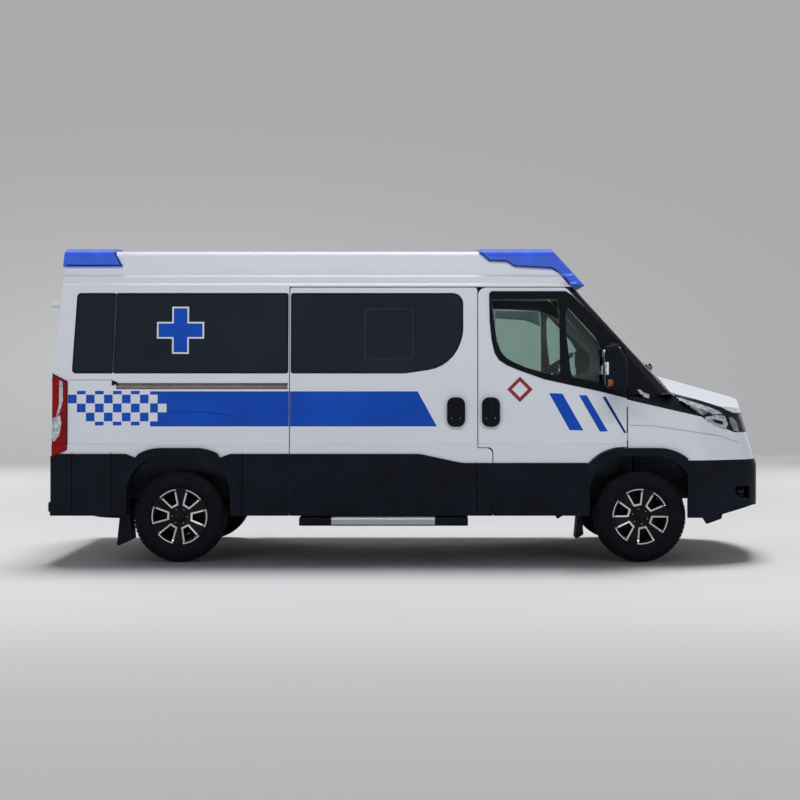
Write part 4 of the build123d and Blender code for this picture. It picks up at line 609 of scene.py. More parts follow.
cross = {"x": -1770, "z": 1773, "arm": 168, "half": 52, "rim": 12}  # upright, white edge under blue
doorStripes = {
    "wide": (blueFilm, [(1040, 1293), (1142, 1290), (1302, 1009), (1197, 1012)]),
    "middle": (blueFilm, [(1268, 1278), (1328, 1277), (1488, 1002), (1427, 1001)]),
    "narrow": (navyFilm, [(1446, 1266), (1473, 1265), (1629, 992), (1612, 989)]),
}
diamond = {"x": 819, "z": 1322, "outer": 98, "inner": 61}  # a plain red outline on the door
blueSquares = {0: [1, 3, 5, 7], 1: [0, 2, 4, 6, 8], 2: [1, 3, 5, 7], 3: [2, 4, 6, 8], 4: [3, 5, 7]}
whiteSquares = {1: [9], 2: [10], 3: [9]}

for side, sign in sides.items():
    drape(f"chequers_{side}", [(square(c, r), []) for r, cs in blueSquares.items() for c in cs], blueFilm,
          "body", bodySkins[side], sign, film["lift"], film["thickness"])
    before, after = film["splitX"] - film["gap"], film["splitX"] + film["gap"]
    stripe = [[(film["rear"], film["low"]), (before, film["low"]), (before, film["top"]),
               (film["rear"], film["top"])],
              [(after, film["low"]), (film["frontLow"], film["low"]), (film["frontTop"], film["top"]),
               (after, film["top"])]]
    drape(f"stripe_{side}", [(o, []) for o in stripe], blueFilm, "body", bodySkins[side], sign,
          film["lift"], film["thickness"])
    drape(f"stripeSquares_{side}", [(square(c, r), []) for r, cs in whiteSquares.items() for c in cs],
          whiteFilm, "body", bodySkins[side], sign, film["lift"] + 0.4, film["thickness"])

    for part, grow, material, lift in (("rim", cross["rim"], whiteFilm, 0.5), ("face", 0, blueFilm, 1.0)):
        a, h = cross["arm"] + grow, cross["half"] + grow
        shape = [(-h, -a), (h, -a), (h, -h), (a, -h), (a, h), (h, h), (h, a), (-h, a), (-h, h), (-a, h),
                 (-a, -h), (-h, -h)]
        drape(f"cross_{part}_{side}", [([(cross["x"] + x, cross["z"] + z) for x, z in shape], [])], material,
              "body", bodySkins[side], sign, lift, film["thickness"])

    doorSkins = [f"front_door_{side}"]
    for name, (material, outline) in doorStripes.items():
        drape(f"doorStripe_{name}_{side}", [(outline, [])], material, f"front_door_{side}",
              doorSkins, sign, film["lift"], film["thickness"])
    loops = [[(diamond["x"] + r * c, diamond["z"] + r * s) for c, s in ((0, -1), (1, 0), (0, 1), (-1, 0))]
             for r in (diamond["outer"], diamond["inner"])]
    drape(f"diamond_{side}", [(loops[0], [loops[1]])], redFilm, f"front_door_{side}",
          doorSkins, sign, film["lift"], film["thickness"])
print("stage: films")


# Black surround of the front door's windows, wing trim and lamp details

surround = {"lift": 2.0, "thickness": 3.0}
surroundOutline = [(585, 2050), (600, 2072), (1172, 2072), (1222, 2040), (1604, 1655), (1633, 1600),
                   (1633, 1254), (1426, 1307), (1007, 1398), (817, 1465), (720, 1505), (660, 1545),
                   (625, 1600), (603, 1700), (588, 1850)]
mainPane = [(602, 2008), (1108, 2012), (1120, 1900), (1124, 1432), (1060, 1436), (1007, 1448), (861, 1490),
            (766, 1532), (712, 1565), (672, 1612), (642, 1690), (622, 1845)]
quarterPane = [(1168, 1903), (1185, 1946), (1285, 1840), (1386, 1729), (1430, 1655), (1450, 1600),
               (1453, 1388), (1440, 1374), (1225, 1412), (1206, 1458), (1173, 1748)]
visor = [(605, 2002), (1104, 1992), (1114, 1864), (1032, 1905), (966, 1922), (613, 1946)]
visorEdge = [(613, 1944), (966, 1920), (1032, 1903), (1112, 1864)]
wingTrim = [(1638, 1296), (1902, 1309), (1990, 1281), (2213, 1124), (2213, 1112), (2084, 1141), (1638, 1244)]
brightStrip = [(1712, 1318), (1734, 1322), (1762, 1297), (1915, 1252), (1913, 1229), (1820, 1243),
               (1749, 1274)]
wingSkins = ["front_wings", "windscreen_frame"]

for side, sign in sides.items():
    door = f"front_door_{side}"
    doorSkins = [door, f"front_door_glass_{side}"]
    drape(f"windowSurround_{side}", [(surroundOutline, [mainPane, quarterPane])], satinBlack, door,
          doorSkins, sign, surround["lift"], surround["thickness"])
    drape(f"windVisor_{side}", [(visor, [])], smokedAcrylic, door, doorSkins, sign, 6.0, 2.0)
    drape(f"visorEdge_{side}", [ribbon(visorEdge, 7)], satinBlack, door, doorSkins, sign,
          6.5, 2.5)
    drape(f"wingTrim_{side}", [(wingTrim, [])], satinBlack, "body", wingSkins, sign, 0.3,
          3.0, step=(30, 12))
    drape(f"wingStrip_{side}", [(brightStrip, [])], chromeTrim, "body", wingSkins, sign, 5.0, 1.5,
          step=(30, 12))

# Headlamp: a black bezel that carries silvered reflectors and a grey corner lens
lampShapes = {
    "upperStrip": (lampReflector, 0.4, [(1961, 1272), (2055, 1256), (2218, 1205), (2343, 1159), (2382, 1133),
                                        (2298, 1130), (2254, 1157), (2112, 1203), (2050, 1222)]),
    "middle": (greyLens, 0.4,
               [(2095, 1195), (2152, 1190), (2265, 1154), (2247, 1137), (2208, 1119), (2136, 1148)]),
    "dayLight": (whiteFilm, 0.9,
                 [(1997, 1221), (2076, 1213), (2112, 1170), (2203, 1130), (2208, 1117), (2104, 1158),
                                  (2068, 1203), (1996, 1212)]),
    "projector": (lampReflector, 0.4, [(2236, 1110), (2331, 1126), (2399, 1117), (2425, 1055), (2407, 1014),
                                       (2307, 1052), (2240, 1088)]),
    "projectorLens": (lampBezel, 2.0, [(2285, 1096), (2381, 1078), (2384, 1049), (2318, 1067)]),
    "corner": (greyLens, 0.4,
               [(2435, 1106), (2468, 1106), (2512, 1053), (2518, 992), (2475, 1003), (2448, 1055)]),
}
for side, sign in sides.items():
    for name, (material, lift, outline) in lampShapes.items():
        drape(f"headlamp_{name}_{side}", [(outline, [])], material, "body", ["headlamps"], sign,
              lift, 1.2, step=(25, 12))
print("stage: window surrounds and front lamps")

# Tail lamps: dark edge, pale strip and clear reversing section over the red lens
tailShapes = {
    "Strip": (lampReflector, "lamp_lens",
              ([(-2690, 1392), (-2664, 1381), (-2661, 1238), (-2685, 1140), (-2713, 1116),
                                            (-2690, 1208)], [])),
    "Clear": (lampReflector, "lamp_lens",
              ([(-2742, 1100), (-2683, 1126), (-2672, 1065), (-2687, 974), (-2728, 923),
                                            (-2742, 950)], [])),
    "Border": (lampBezel, "black_plastic", ribbon([(-2742, 1438), (-2632, 1380), (-2632, 866)], 7)),
}
for side, sign in sides.items():
    for name, (material, slotName, shape) in tailShapes.items():
        drape(f"tail{name}_{side}", [shape], material, "body", ["tail_lamps"], sign, 0.4, 0.8,
              step=(30, 25))
print("stage: tail lamps")


# Gaskets, painted shade along creases and open joints, and the door rail

gasket = {"outwards": 5, "inwards": 6, "lift": 0.3, "thickness": 1.6}
bandGlass = {
    "slider": [(-923, 1448, 14), (-923, 2053, 14), (383, 2053, 78), (383, 1740, 330), (300, 1500, 300),
               (-60, 1448, 420)],
    "leftFront": [(-923, 1448, 14), (-923, 2053, 14), (383, 2053, 78), (383, 1448, 120)],
    "rearCorner": [(-2591, 1448, 25), (-2555, 2053, 25), (-2263, 2053, 14), (-2285, 1448, 14)],
    "rearMain": [(-2279, 1448, 14), (-2257, 2053, 14), (-951, 2053, 14), (-951, 1448, 14)],
}
slidingPane = rounded([(-362, 1556, 14), (-362, 1936, 14), (3, 1936, 14), (3, 1556, 14)])
for side, sign in sides.items():
    for name, corners in bandGlass.items():
        if name == ("leftFront" if side == "right" else "slider"):
            continue
        drape(f"gasket_{name}_{side}", [ring(rounded(corners), gasket["outwards"], gasket["inwards"])],
              satinBlack, "body", bodySkins[side], sign, gasket["lift"], gasket["thickness"])
    # Bright bead between the two rear panes, and the edge of the sliding pane in the front one: their
    # brightness is a painted highlight
    drape(f"paneBead_{side}", [ribbon([(-2282, 1455), (-2260, 2046)], 7)], glassBeadHighlight, "body",
          bodySkins[side], sign, 2.0, 1.0)
    drape(f"slidingPane_{side}", [ring(slidingPane, 2, 2)], glassBeadHighlight, "body", bodySkins[side],
          sign, 0.3, 0.8)

creases = {
    "fillerLine": (creaseShadeEnamel, [(-2624, 1394), (-2288, 1394)]),
    "archOverStripe": (creaseShadeFilm,
                       [(-1859, 1152), (-1614, 1152), (-1410, 1126), (-1300, 1092), (-1238, 1065)]),
    "wing": (creaseShadeEnamel, [(1655, 1049), (1835, 1044), (2141, 998), (2360, 964), (2518, 910)]),
}
joints = [[(-2588, 380), (-2588, 842)], [(-2290, 380), (-2290, 842)], [(-1292, 380), (-1292, 838)],
          [(490, 366), (490, 770)]]
for side, sign in sides.items():
    # Each crease is a flat strip of painted shade laid on the skin, not a change of shape
    for name, (material, line) in creases.items():
        drape(f"crease_{name}_{side}", [ribbon(line, 5)], material, "body",
              bodySkins[side] + ["front_wings"], sign, 1.3, 0.5, step=(20, 12))
    # Painted shade along the joints of the cladding panels, which are open
    drape(f"claddingJoints_{side}", [ribbon(line, 5) for line in joints], shadowGap, "body",
          ["lower_cladding", "rear_bumper"], sign, 0.2, 0.4)

railPlate = [(-2258, 1324), (-2258, 1370), (-954, 1370), (-954, 1324)]
drape("railPlate", [(railPlate, [])], railZinc, "body", ["side_wall_right"], -1, 0.3, 1.0,
      step=(60, 6))
railEnd = [(-2291, 1352), (-2291, 1393), (-2247, 1376), (-2252, 1352)]
drape("railEnd", [(railEnd, [])], satinBlack, "body", ["side_wall_right"], -1, 0.8, 2.0)
print("stage: gaskets, creases and rail")


# Door handles and mirrors

grip = {"halfWidth": 19, "low": 1118, "top": 1252, "corner": 14, "inner": 985, "outer": 1021, "edge": 5,
        "screwOut": 33, "screwY": 1013, "screwZ": 1104, "screwRadius": 5, "screwTip": 3, "screwLength": 5}
handles = [("front_door_right", 597, -1), ("front_door_left", 597, 1), ("body", 332, -1)]
for body, handleX, sign in handles:
    label = body if body != "body" else "slider"
    rear, front = handleX - grip["halfWidth"], handleX + grip["halfWidth"]
    outline = rounded([(rear, grip["low"], grip["corner"]), (rear, grip["top"], grip["corner"]),
                       (front, grip["top"], grip["corner"]), (front, grip["low"], grip["corner"])])
    slabPiece(f"grip_{label}", outline, sign * grip["inner"], sign * grip["outer"], grip["edge"], satinBlack,
              body)
    for k in (-1, 1):
        place = (handleX + k * grip["screwOut"], sign * grip["screwY"], grip["screwZ"])
        screw = knob(place, sign, grip["screwRadius"], grip["screwTip"], grip["screwLength"], 20)
        smooth(addPiece(f"gripScrew_{label}_{k + 1}", screw, chromeTrim, body))

mirror = {"glass": [(1108, 1352, 30), (1108, 1622, 30), (1248, 1622, 30), (1248, 1352, 30)],
          "strip": [(1436, 1434, 6), (1436, 1528, 6), (1462, 1528, 6), (1462, 1434, 6)],
          "lamp": [(1456, 1345, 10), (1456, 1404, 12), (1498, 1396, 16), (1490, 1352, 14)],
          "reach": 5.2, "fine": (12, 12)}
for side, sign in sides.items():
    door = f"front_door_{side}"
    trim = [f"front_door_trim_{side}"]
    glass = rounded([(sign * y, z, r) for y, z, r in mirror["glass"]])
    drape(f"mirrorGlass_{side}", [(glass, [])], mirrorSilver, door, trim, -1, 0.4, 1.2,
          end=True, reach=mirror["reach"])
    drape(f"mirrorStrip_{side}", [(rounded(mirror["strip"]), [])], whiteFilm, door, trim, sign,
          0.3, 1.0, step=mirror["fine"])
    drape(f"mirrorLamp_{side}", [(rounded(mirror["lamp"]), [])], amberLens, door, trim, sign,
          0.3, 4.0, step=mirror["fine"])
print("stage: handles and mirrors")


# Side step and rear step

tread = {"rear": -613, "front": 170, "firstY": -1056, "topZ": 352, "ribWidth": 5, "ribHeight": 2.5,
         "ribs": 24,
         "pitch": 10.5}
stepSection = [(-1071.5, 300), (-1071.5, 340), (-1066, 349), (-1058, 352), (-805, 352), (-805, 349),
               (-1056, 349), (-1063, 346), (-1068, 338), (-1068, 300)]
addPiece("stepCover", barOf(stepSection, tread["rear"], tread["front"]), anodisedTread, "body")


def ribOf(low, high, y, z, width, height):
    # One rib of a tread plate, with chamfered edges and its foot sunk in.
    section = [(-width / 2, -1), (-width / 2, height * 0.5), (-width / 4, height), (width / 4, height),
               (width / 2, height * 0.5), (width / 2, -1)]
    return barOf([(y + a, z + b) for a, b in section], low, high)


stepRib = ribOf(tread["rear"], tread["front"], tread["firstY"], tread["topZ"], tread["ribWidth"],
                tread["ribHeight"])
repeatPiece("stepRibs", stepRib, alongTree,
            {"Count": tread["ribs"], "Pitch": (0, tread["pitch"] * mm, 0), "Finish": anodisedTread}, "body")

# The rear step's lip goes on past the CAD step to the corners, and small ribs run along its top
rearStep = {"lip": [(-2773.5, 612, 0), (-2773.5, 1004, 26), (-2740, 1012, 10), (-2740, 612, 0)],
            "lipLow": 390.5, "lipTop": 461.5, "lipEdge": 3,
            "foot": [(-2757, 1003.4), (-2590, 1003.4), (-2590, 1007), (-2757, 1007)],
            "sill": [(-2758, -1003), (-2758, 1003), (-2753, 1003), (-2753, -1003)],
            "footLow": 361.5, "footTop": 390, "sillTop": 388, "footEdge": 1,
            "ribs": 97, "pitch": 20, "firstY": -960, "ribRear": -2771, "ribFront": -2764, "ribWidth": 6,
            "ribHeight": 2, "topZ": 461.4}
for side, sign in sides.items():
    planPiece(f"wallFoot_{side}", [(x, sign * y) for x, y in rearStep["foot"]], rearStep["footLow"],
              rearStep["footTop"], rearStep["footEdge"], mouldedBlack)
    planPiece(f"stepLip_{side}", rounded([(x, sign * y, r) for x, y, r in rearStep["lip"]]),
              rearStep["lipLow"], rearStep["lipTop"], rearStep["lipEdge"], mouldedBlack)
planPiece("sillFoot", rearStep["sill"], rearStep["footLow"], rearStep["sillTop"], rearStep["footEdge"],
          mouldedBlack)
rearRib = ribOf(rearStep["ribRear"], rearStep["ribFront"], rearStep["firstY"], rearStep["topZ"],
                rearStep["ribWidth"], rearStep["ribHeight"])
repeatPiece("rearStepRibs", rearRib, alongTree,
            {"Count": rearStep["ribs"], "Pitch": (0, rearStep["pitch"] * mm, 0), "Finish": mouldedBlack},
            "body")
print("stage: side step")


# Arch edges, fog lamps and air intake

axles = {"front": 1740, "rear": -1780}
archEdge = {"halfWidth": 393.2, "top": 813.2, "radius": 290, "low": 364, "inner": 905, "outer": 1004,
            "wall": 3}
for end, axleX in axles.items():
    rear, front = axleX - archEdge["halfWidth"], axleX + archEdge["halfWidth"]
    path = rounded([(rear, archEdge["low"], 0), (rear, archEdge["top"], archEdge["radius"]),
                    (front, archEdge["top"], archEdge["radius"]), (front, archEdge["low"], 0)], 14)
    for side, sign in sides.items():
        slabPiece(f"archEdge_{end}_{side}", ribbon(path, archEdge["wall"])[0], sign * archEdge["inner"],
                  sign * archEdge["outer"], 0, mouldedBlack, "body")

fog = {"x": 2512, "y": 775, "z": 534, "low": 462, "top": 592,
       "panel": [(2436, 862), (2440, 858), (2644, 660), (2640, 654), (2430, 852)],
       "lamp": [(39, 0), (39, 46), (34, 48), (31, 42), (20.4, 47), (4, 49)],
       "lens": [(29, 43), (29, 46), (20.3, 50), (8.7, 52)]}
for side, sign in sides.items():
    planPiece(f"fogPanel_{side}", [(x, sign * y) for x, y in fog["panel"]], fog["low"], fog["top"], 0,
              mouldedBlack)
    centre = Vector((fog["x"], sign * fog["y"], fog["z"])) * mm
    smooth(addPiece(f"fogLamp_{side}", turnedDisc(fog["lamp"], centre, 0, 1, 32), lampBezel, "body"))
    smooth(addPiece(f"fogLens_{side}", turnedDisc(fog["lens"], centre, 0, 1, 28), lampReflector, "body"))

# Dark mesh behind the bumper's air intake: a near-black plate of painted shade, with flat bars across it
intake = {"x": 2672, "half": 470, "low": 440, "top": 665, "bars": 5, "firstBar": 500, "pitch": 34,
          "barHeight": 9,
          "barEdge": 2}


def noseBand(near, far, inset):
    # A strip across the nose that follows its bow, between two distances from the intake's face.
    def edge(shift, half):
        bow = [(60, half), (10, 300), (0, 0)]
        line = [(drop, -y) for drop, y in bow] + bow[1::-1]
        return [(intake["x"] + shift - drop, y) for drop, y in line]

    return edge(near, intake["half"]) + edge(far, intake["half"] - inset)[::-1]


# The intake's back plate is painted shade in near black
planPiece("intakeBack", noseBand(0, -6, 0), intake["low"], intake["top"], 0, shadowGap)
for k in range(intake["bars"]):
    z = intake["firstBar"] + k * intake["pitch"]
    planPiece(f"intakeBar_{k}", noseBand(-2, 18, 6), z, z + intake["barHeight"], intake["barEdge"],
              satinBlack)
print("stage: arch edges and fog lamps")


# Padded seats

seat = {"y": 450, "voxel": 12, "pressure": 4.0, "frames": 20, "cap": 14, "piping": 3.0, "seamY": 140,
        "base": [(632, 792, 6), (632, 1040, 20), (700, 1094, 20), (1030, 1084, 20), (1030, 792, 6)],
        "baseHalf": 225, "baseEdge": 6, "postY": 70, "post": [(550, 1650), (542, 1760)], "postRadius": 6}
padShapes = {
    "cushion": {"half": 230, "bevel": 24, "outline": [(716, 1122), (712, 1190), (780, 1204), (1066, 1220),
                                                     (1102, 1196), (1098, 1134), (1040, 1112)]},
    "backrest": {"half": 226, "bevel": 22, "outline": [(614, 1078), (526, 1674), (580, 1680), (676, 1215),
                                                      (682, 1084)]},
    "headrest": {"half": 128, "bevel": 20, "outline": [(508, 1736), (498, 1852), (550, 1862), (578, 1742)]},
}
seams = {  # the way that each pad's seams are laid on it, and where x and z start from
    "cushion": ((0, 0, -1), [(x, 1400) for x in range(760, 1081, 40)]),
    "backrest": ((-1, 0, 0), [(900, z) for z in range(1260, 1641, 38)]),
}


def puffedPad(name, shape):
    # A block of foam blown up under its cover by cloth simulation, and held within the room it has.
    builder = extruded(shape["outline"], -shape["half"], shape["half"], 1)
    bmesh.ops.bevel(builder, geom=builder.edges[:], offset=shape["bevel"] * mm, segments=3, affect="EDGES",
                    profile=0.5)
    maker = inScene(name + "Maker", meshOf(name, builder))
    grid = maker.modifiers.new("grid", "REMESH")
    grid.mode = "VOXEL"
    grid.voxel_size = seat["voxel"] * mm
    result = frozen(maker)
    maker.modifiers.remove(grid)
    maker.data = result
    before = [vert.co.copy() for vert in result.vertices]
    cover = maker.modifiers.new("cover", "CLOTH")
    cover.settings.use_pressure = True
    cover.settings.uniform_pressure_force = seat["pressure"]
    cover.settings.effector_weights.gravity = 0
    for number in range(1, seat["frames"] + 1):
        scene.frame_set(number)
    result = frozen(maker)
    maker.modifiers.remove(cover)
    for vert, start in zip(result.vertices, before):
        move = vert.co - start
        vert.co = start + move * min(1, seat["cap"] * mm / max(move.length, 1e-9))
    scene.frame_set(1)
    bpy.data.objects.remove(maker)
    return result


padMeshes = {name: puffedPad(name, shape) for name, shape in padShapes.items()}
for side, sign in sides.items():
    middle = sign * seat["y"]
    for name, mesh in padMeshes.items():
        builder = bmesh.new()
        builder.from_mesh(mesh)
        bmesh.ops.translate(builder, verts=builder.verts[:], vec=(0, middle * mm, 0))
        bmesh.ops.recalc_face_normals(builder, faces=builder.faces[:])
        tree = BVHTree.FromBMesh(builder)
        pad = smooth(addPiece(f"{name}_{side}", builder, seatCloth, "body"), 3.2)
        finer = pad.modifiers.new("finer", "SUBSURF")
        finer.levels = finer.render_levels = 1
        if name == "cushion":
            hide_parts("seats")
        ray, line = seams.get(name, ((0, 0, 0), []))
        for k, y in enumerate((-seat["seamY"], seat["seamY"]) if line else ()):
            hits = [tree.ray_cast(Vector((x, y + middle, z)) * mm, Vector(ray))[0] for x, z in line]
            tube(f"seam_{name}_{k}_{side}", [tuple(h) for h in hits if h], seat["piping"] * mm, seatCloth,
                 "body")
    slabPiece(f"seatBase_{side}", rounded(seat["base"]), middle - seat["baseHalf"], middle + seat["baseHalf"],
              seat["baseEdge"], dashSkin, "body")
    for k in (-1, 1):
        post = [Vector((x, middle + k * seat["postY"], z)) * mm for x, z in seat["post"]]
        tube(f"headrestPost_{k + 1}_{side}", post, seat["postRadius"] * mm, chromeTrim, "body",
             smoothPath=False)
print("stage: seats")


# Wipers

wiper = {"rise": 30, "bladeRise": 8, "armRadius": 11, "bladeRadius": 9, "shares": (0, 0.2, 0.45, 0.7, 1.0)}
wiperPaths = {"near": ((-120, 1466), (-775, 1500)), "far": ((520, 1462), (-40, 1520))}
screenTree = skinOf(["windscreen", "windscreen_frame", "bonnet"])
offScreen = Vector((0.66, 0, 0.75)) * mm  # a millimetre straight out of the windscreen
for name, (pivot, tip) in wiperPaths.items():
    points = []
    for share in wiper["shares"]:
        y, z = (a + share * (b - a) for a, b in zip(pivot, tip))
        hit = screenTree.ray_cast(Vector((3, y * mm, z * mm)), Vector((-1, 0, 0)), 4)
        points.append(hit[0] + offScreen * wiper["rise"] * (1.0 if share else 0.5))
    blade = [p - offScreen * (wiper["rise"] - wiper["bladeRise"]) for p in points[1:]]
    for part, line in (("Arm", points[:4]), ("Blade", blade)):
        tube(f"wiper{part}_{name}", line, wiper[part.lower() + "Radius"] * mm, satinBlack, "body")
print("stage: wipers")


# Rear end: window seals, handle, blank plate, brake lamp and lining cards

rearEnd = {
    "glass": [(-760, 1470, 70), (-735, 2040, 70), (-110, 2040, 50), (-110, 1470, 50)],
    "plate": [(-300, 640, 8), (-300, 750, 8), (-740, 750, 8), (-740, 640, 8)],
    "handle": [(-40, 1180, 20), (-40, 1290, 20), (-150, 1290, 20), (-150, 1180, 20)],
    "brakeLamp": [(-170, 2250, 6), (-170, 2274, 6), (170, 2274, 6), (170, 2250, 6)],
    "card": [(90, 660, 40), (90, 1400, 40), (770, 1400, 40), (770, 660, 40)],
}
frontDoor = {
    "card": rounded([(650, 850, 40), (650, 1390, 60), (1010, 1310, 200), (1380, 1230, 40), (1380, 850, 40)]),
    "armRest": rounded([(720, 1050, 20), (720, 1110, 20), (1200, 1090, 20), (1200, 1040, 20)]),
}
for side, sign in sides.items():
    doorSkins = [f"rear_door_{side}", f"rear_door_glass_{side}"]
    seal = rounded([(-sign * y, z, r) for y, z, r in rearEnd["glass"]])
    drape(f"rearSeal_{side}", [ring(seal, 6, 8)], satinBlack, f"rear_door_{side}", doorSkins,
          -1, 0.3, 2.0, end=True)
drape("rearPlate", [(rounded(rearEnd["plate"]), [])], plateSheet, "rear_door_right",
      ["rear_door_right"], -1, 0.3, 2.0, end=True)
drape("rearHandle", [(rounded(rearEnd["handle"]), [])], satinBlack, "rear_door_right",
      ["rear_door_right"], -1, 0.0, 16.0, end=True)
drape("brakeLamp", [(rounded(rearEnd["brakeLamp"]), [])], redLens, "body", ["roof"], -1, 0.0, 6.0,
      end=True)
# Lining cards on the inner side of the doors
for side, sign in sides.items():
    rearCard = rounded([(sign * y, z, r) for y, z, r in rearEnd["card"]])
    drape(f"rearCard_{side}", [(rearCard, [])], liningPanel, f"rear_door_{side}",
          [f"rear_door_{side}"], 1, 0.5, 6.0, end=True, reach=6.4)
    drape(f"frontCard_{side}", [(frontDoor["card"], [])], dashSkin, f"front_door_{side}",
          [f"front_door_{side}"], -sign, 0.5, 8.0, reach=2.8)
    drape(f"armRest_{side}", [(frontDoor["armRest"], [])], dashSkin, f"front_door_{side}",
          [f"front_door_{side}"], -sign, 6.0, 42.0, reach=2.8)
print("stage: rear end")


# Black borders of the roof lamps

frontBorder = [(523, 2378), (592, 2313), (724, 2309), (782, 2270), (1070, 2255), (1128, 2217), (1200, 2140)]
rearBorder = [(-2655, 2273), (-2236, 2273), (-2288, 2364), (-2296, 2392)]
for side, sign in sides.items():
    drape(f"roofLampBorder_front_{side}", [ribbon(frontBorder, 9)], satinBlack, "body",
          ["roof_lamp_front", "roof", "windscreen_frame"], sign, 0.5, 2.0)
    drape(f"roofLampBorder_rear_{side}", [ribbon(rearBorder, 9)], satinBlack, "body",
          ["roof_lamps_rear", "roof"], sign, 0.5, 2.0)
print("stage: roof lamp borders")


# Wheels: bright window edges, nuts, cap and tyre, and the shield behind each brake disc

wheel = {"track": 1720, "radius": 350, "windows": 6, "edgeWidth": 14, "windowInner": 82, "windowOuter": 212,
         "innerHalf": 30, "outerHalf": 68, "hubRadius": 62, "bendRadius": 190, "slopeRadius": 196,
         "lipRadius": 202, "faceHub": 62, "faceRim": 82, "lipDepth": 91.5,
         "nutCircle": 58, "nutDepth": 68, "nutRadius": 8, "nutTip": 6.4, "nutLength": 16,
         "cap": [(14, 74), (30, 72), (37, 69), (40, 62.2)]}
windowTurn = {"front": 42.5, "rear": 57.0}


def faceDepth(radius):  # how far out the wheel's face stands at a radius
    hub, bend, rim = wheel["hubRadius"], wheel["bendRadius"], wheel["faceRim"]
    if radius > bend:
        share = min(1, (radius - bend) / (wheel["lipRadius"] - bend))
        return rim - 1 + share * (wheel["lipDepth"] - rim + 1)
    return wheel["faceHub"] + (radius - hub) / (wheel["slopeRadius"] - hub) * (rim - wheel["faceHub"])


def windowLoop(grow):
    inner, outer = wheel["windowInner"] + grow, wheel["windowOuter"] - grow * 0.6
    innerHalf = wheel["innerHalf"] - grow * 0.55
    halfAngle = math.asin((wheel["outerHalf"] - grow) / outer)
    corner = (outer * math.cos(halfAngle), outer * math.sin(halfAngle))
    legShares = (0, 0.3, 0.6, 0.78, 0.86, 0.93)
    leg = [(inner + share * (corner[0] - inner),
            innerHalf + share * (corner[1] - innerHalf)) for share in legShares]
    arc = [(outer * math.cos(halfAngle * (1 - k / 4)),
            outer * math.sin(halfAngle * (1 - k / 4))) for k in range(9)]
    return leg + arc + [(a, -b) for a, b in reversed(leg)]


def wheelEdges(sign):
    builder = bmesh.new()
    outer, inner = windowLoop(0), windowLoop(wheel["edgeWidth"])
    rings = []
    for loop, lift in ((outer, 0.2), (outer, 2.2), (inner, 2.2), (inner, 0.2)):
        rings.append([builder.verts.new((a * mm, sign * (faceDepth(math.hypot(a, b)) + lift) * mm, b * mm))
                      for a, b in loop])
    return joinLoops(builder, rings, around=True)


# Splash shield: a ring round the brake disc, and a plate behind it that is open at the bottom for the arm
shield = {"ring": [(152, -43), (188, -43), (191, -40), (192.5, -41), (189, -46.5), (152, -46.5)],
          "plate": [(68, -58), (152.5, -58), (152.5, -44), (155, -44), (155, -61), (68, -61)],
          "openHalf": math.radians(42), "steps": 60}


def turnedShell(profile, sign, centre, first, sweep):
    # A closed section of radius and depth, turned about the wheel's axle through an angle.
    builder = bmesh.new()
    whole = sweep >= 2 * math.pi
    rings = []
    for k in range(shield["steps"] + (0 if whole else 1)):
        angle = first + sweep * k / shield["steps"]
        rings.append([builder.verts.new((centre[0] + r * mm * math.cos(angle), centre[1] + sign * u * mm,
                                         centre[2] + r * mm * math.sin(angle))) for r, u in profile])
    return joinLoops(builder, rings, around=whole)


# Tyre section: distance along the axle from the middle, radius, and how far a groove across the tread cuts it
tyreSection = [
    (90.5, 216.5, 0), (97, 223, 0), (101.5, 228, 0), (104, 236, 0), (106, 240, 0), (110, 250, 0),
    (111.8, 262, 0), (112.3, 276, 0), (112.2, 290, 0), (111.3, 297, 0), (112.0, 299, 0), (111.6, 303, 0),
    (109.0, 307, 0), (107.0, 315, 0), (103.5, 324, 1.5), (99, 333, 5), (91, 345.5, 8), (66, 347.6, 7),
    (64, 340, 1), (56, 340, 1), (54, 348.2, 4), (26, 349.5, 4), (24, 341, 0), (14, 341, 0), (12, 349.8, 4),
]
tyreMake = {"blocks": 64, "grooveShare": 0.14, "wallShare": 0.03, "innerRadius": 204, "seatHalf": 84}


def tyreBlock(sign):
    # One tread block's share of the tyre, from bead to bead.
    half = tyreSection + [(-u, r, cut) for u, r, cut in reversed(tyreSection)]
    seatHalf, beadRadius, inner = tyreMake["seatHalf"], tyreSection[0][1], tyreMake["innerRadius"]
    loop = half + [(-seatHalf, beadRadius, 0), (-seatHalf, inner, 0), (seatHalf, inner, 0),
                   (seatHalf, beadRadius, 0)]
    pitch = 2 * math.pi / tyreMake["blocks"]
    groove, wall = tyreMake["grooveShare"] * pitch, tyreMake["wallShare"] * pitch
    builder = bmesh.new()
    rings = []
    for angle, cut in ((0, 1), (groove, 1), (groove + wall, 0), (pitch - wall, 0), (pitch, 1)):
        rings.append([builder.verts.new(((r - depth * cut) * mm * math.sin(angle), sign * u * mm,
                                         (r - depth * cut) * mm * math.cos(angle))) for u, r, depth in loop])
    return joinLoops(builder, rings, capped=False)


def closeUp(piece):  # joins the repeated shares into one closed skin that faces outwards
    builder = bmesh.new()
    builder.from_mesh(piece.data)
    bmesh.ops.remove_doubles(builder, verts=builder.verts[:], dist=2e-5)
    bmesh.ops.recalc_face_normals(builder, faces=builder.faces[:])
    builder.to_mesh(piece.data)
    builder.free()
    return smooth(piece, 0.7)


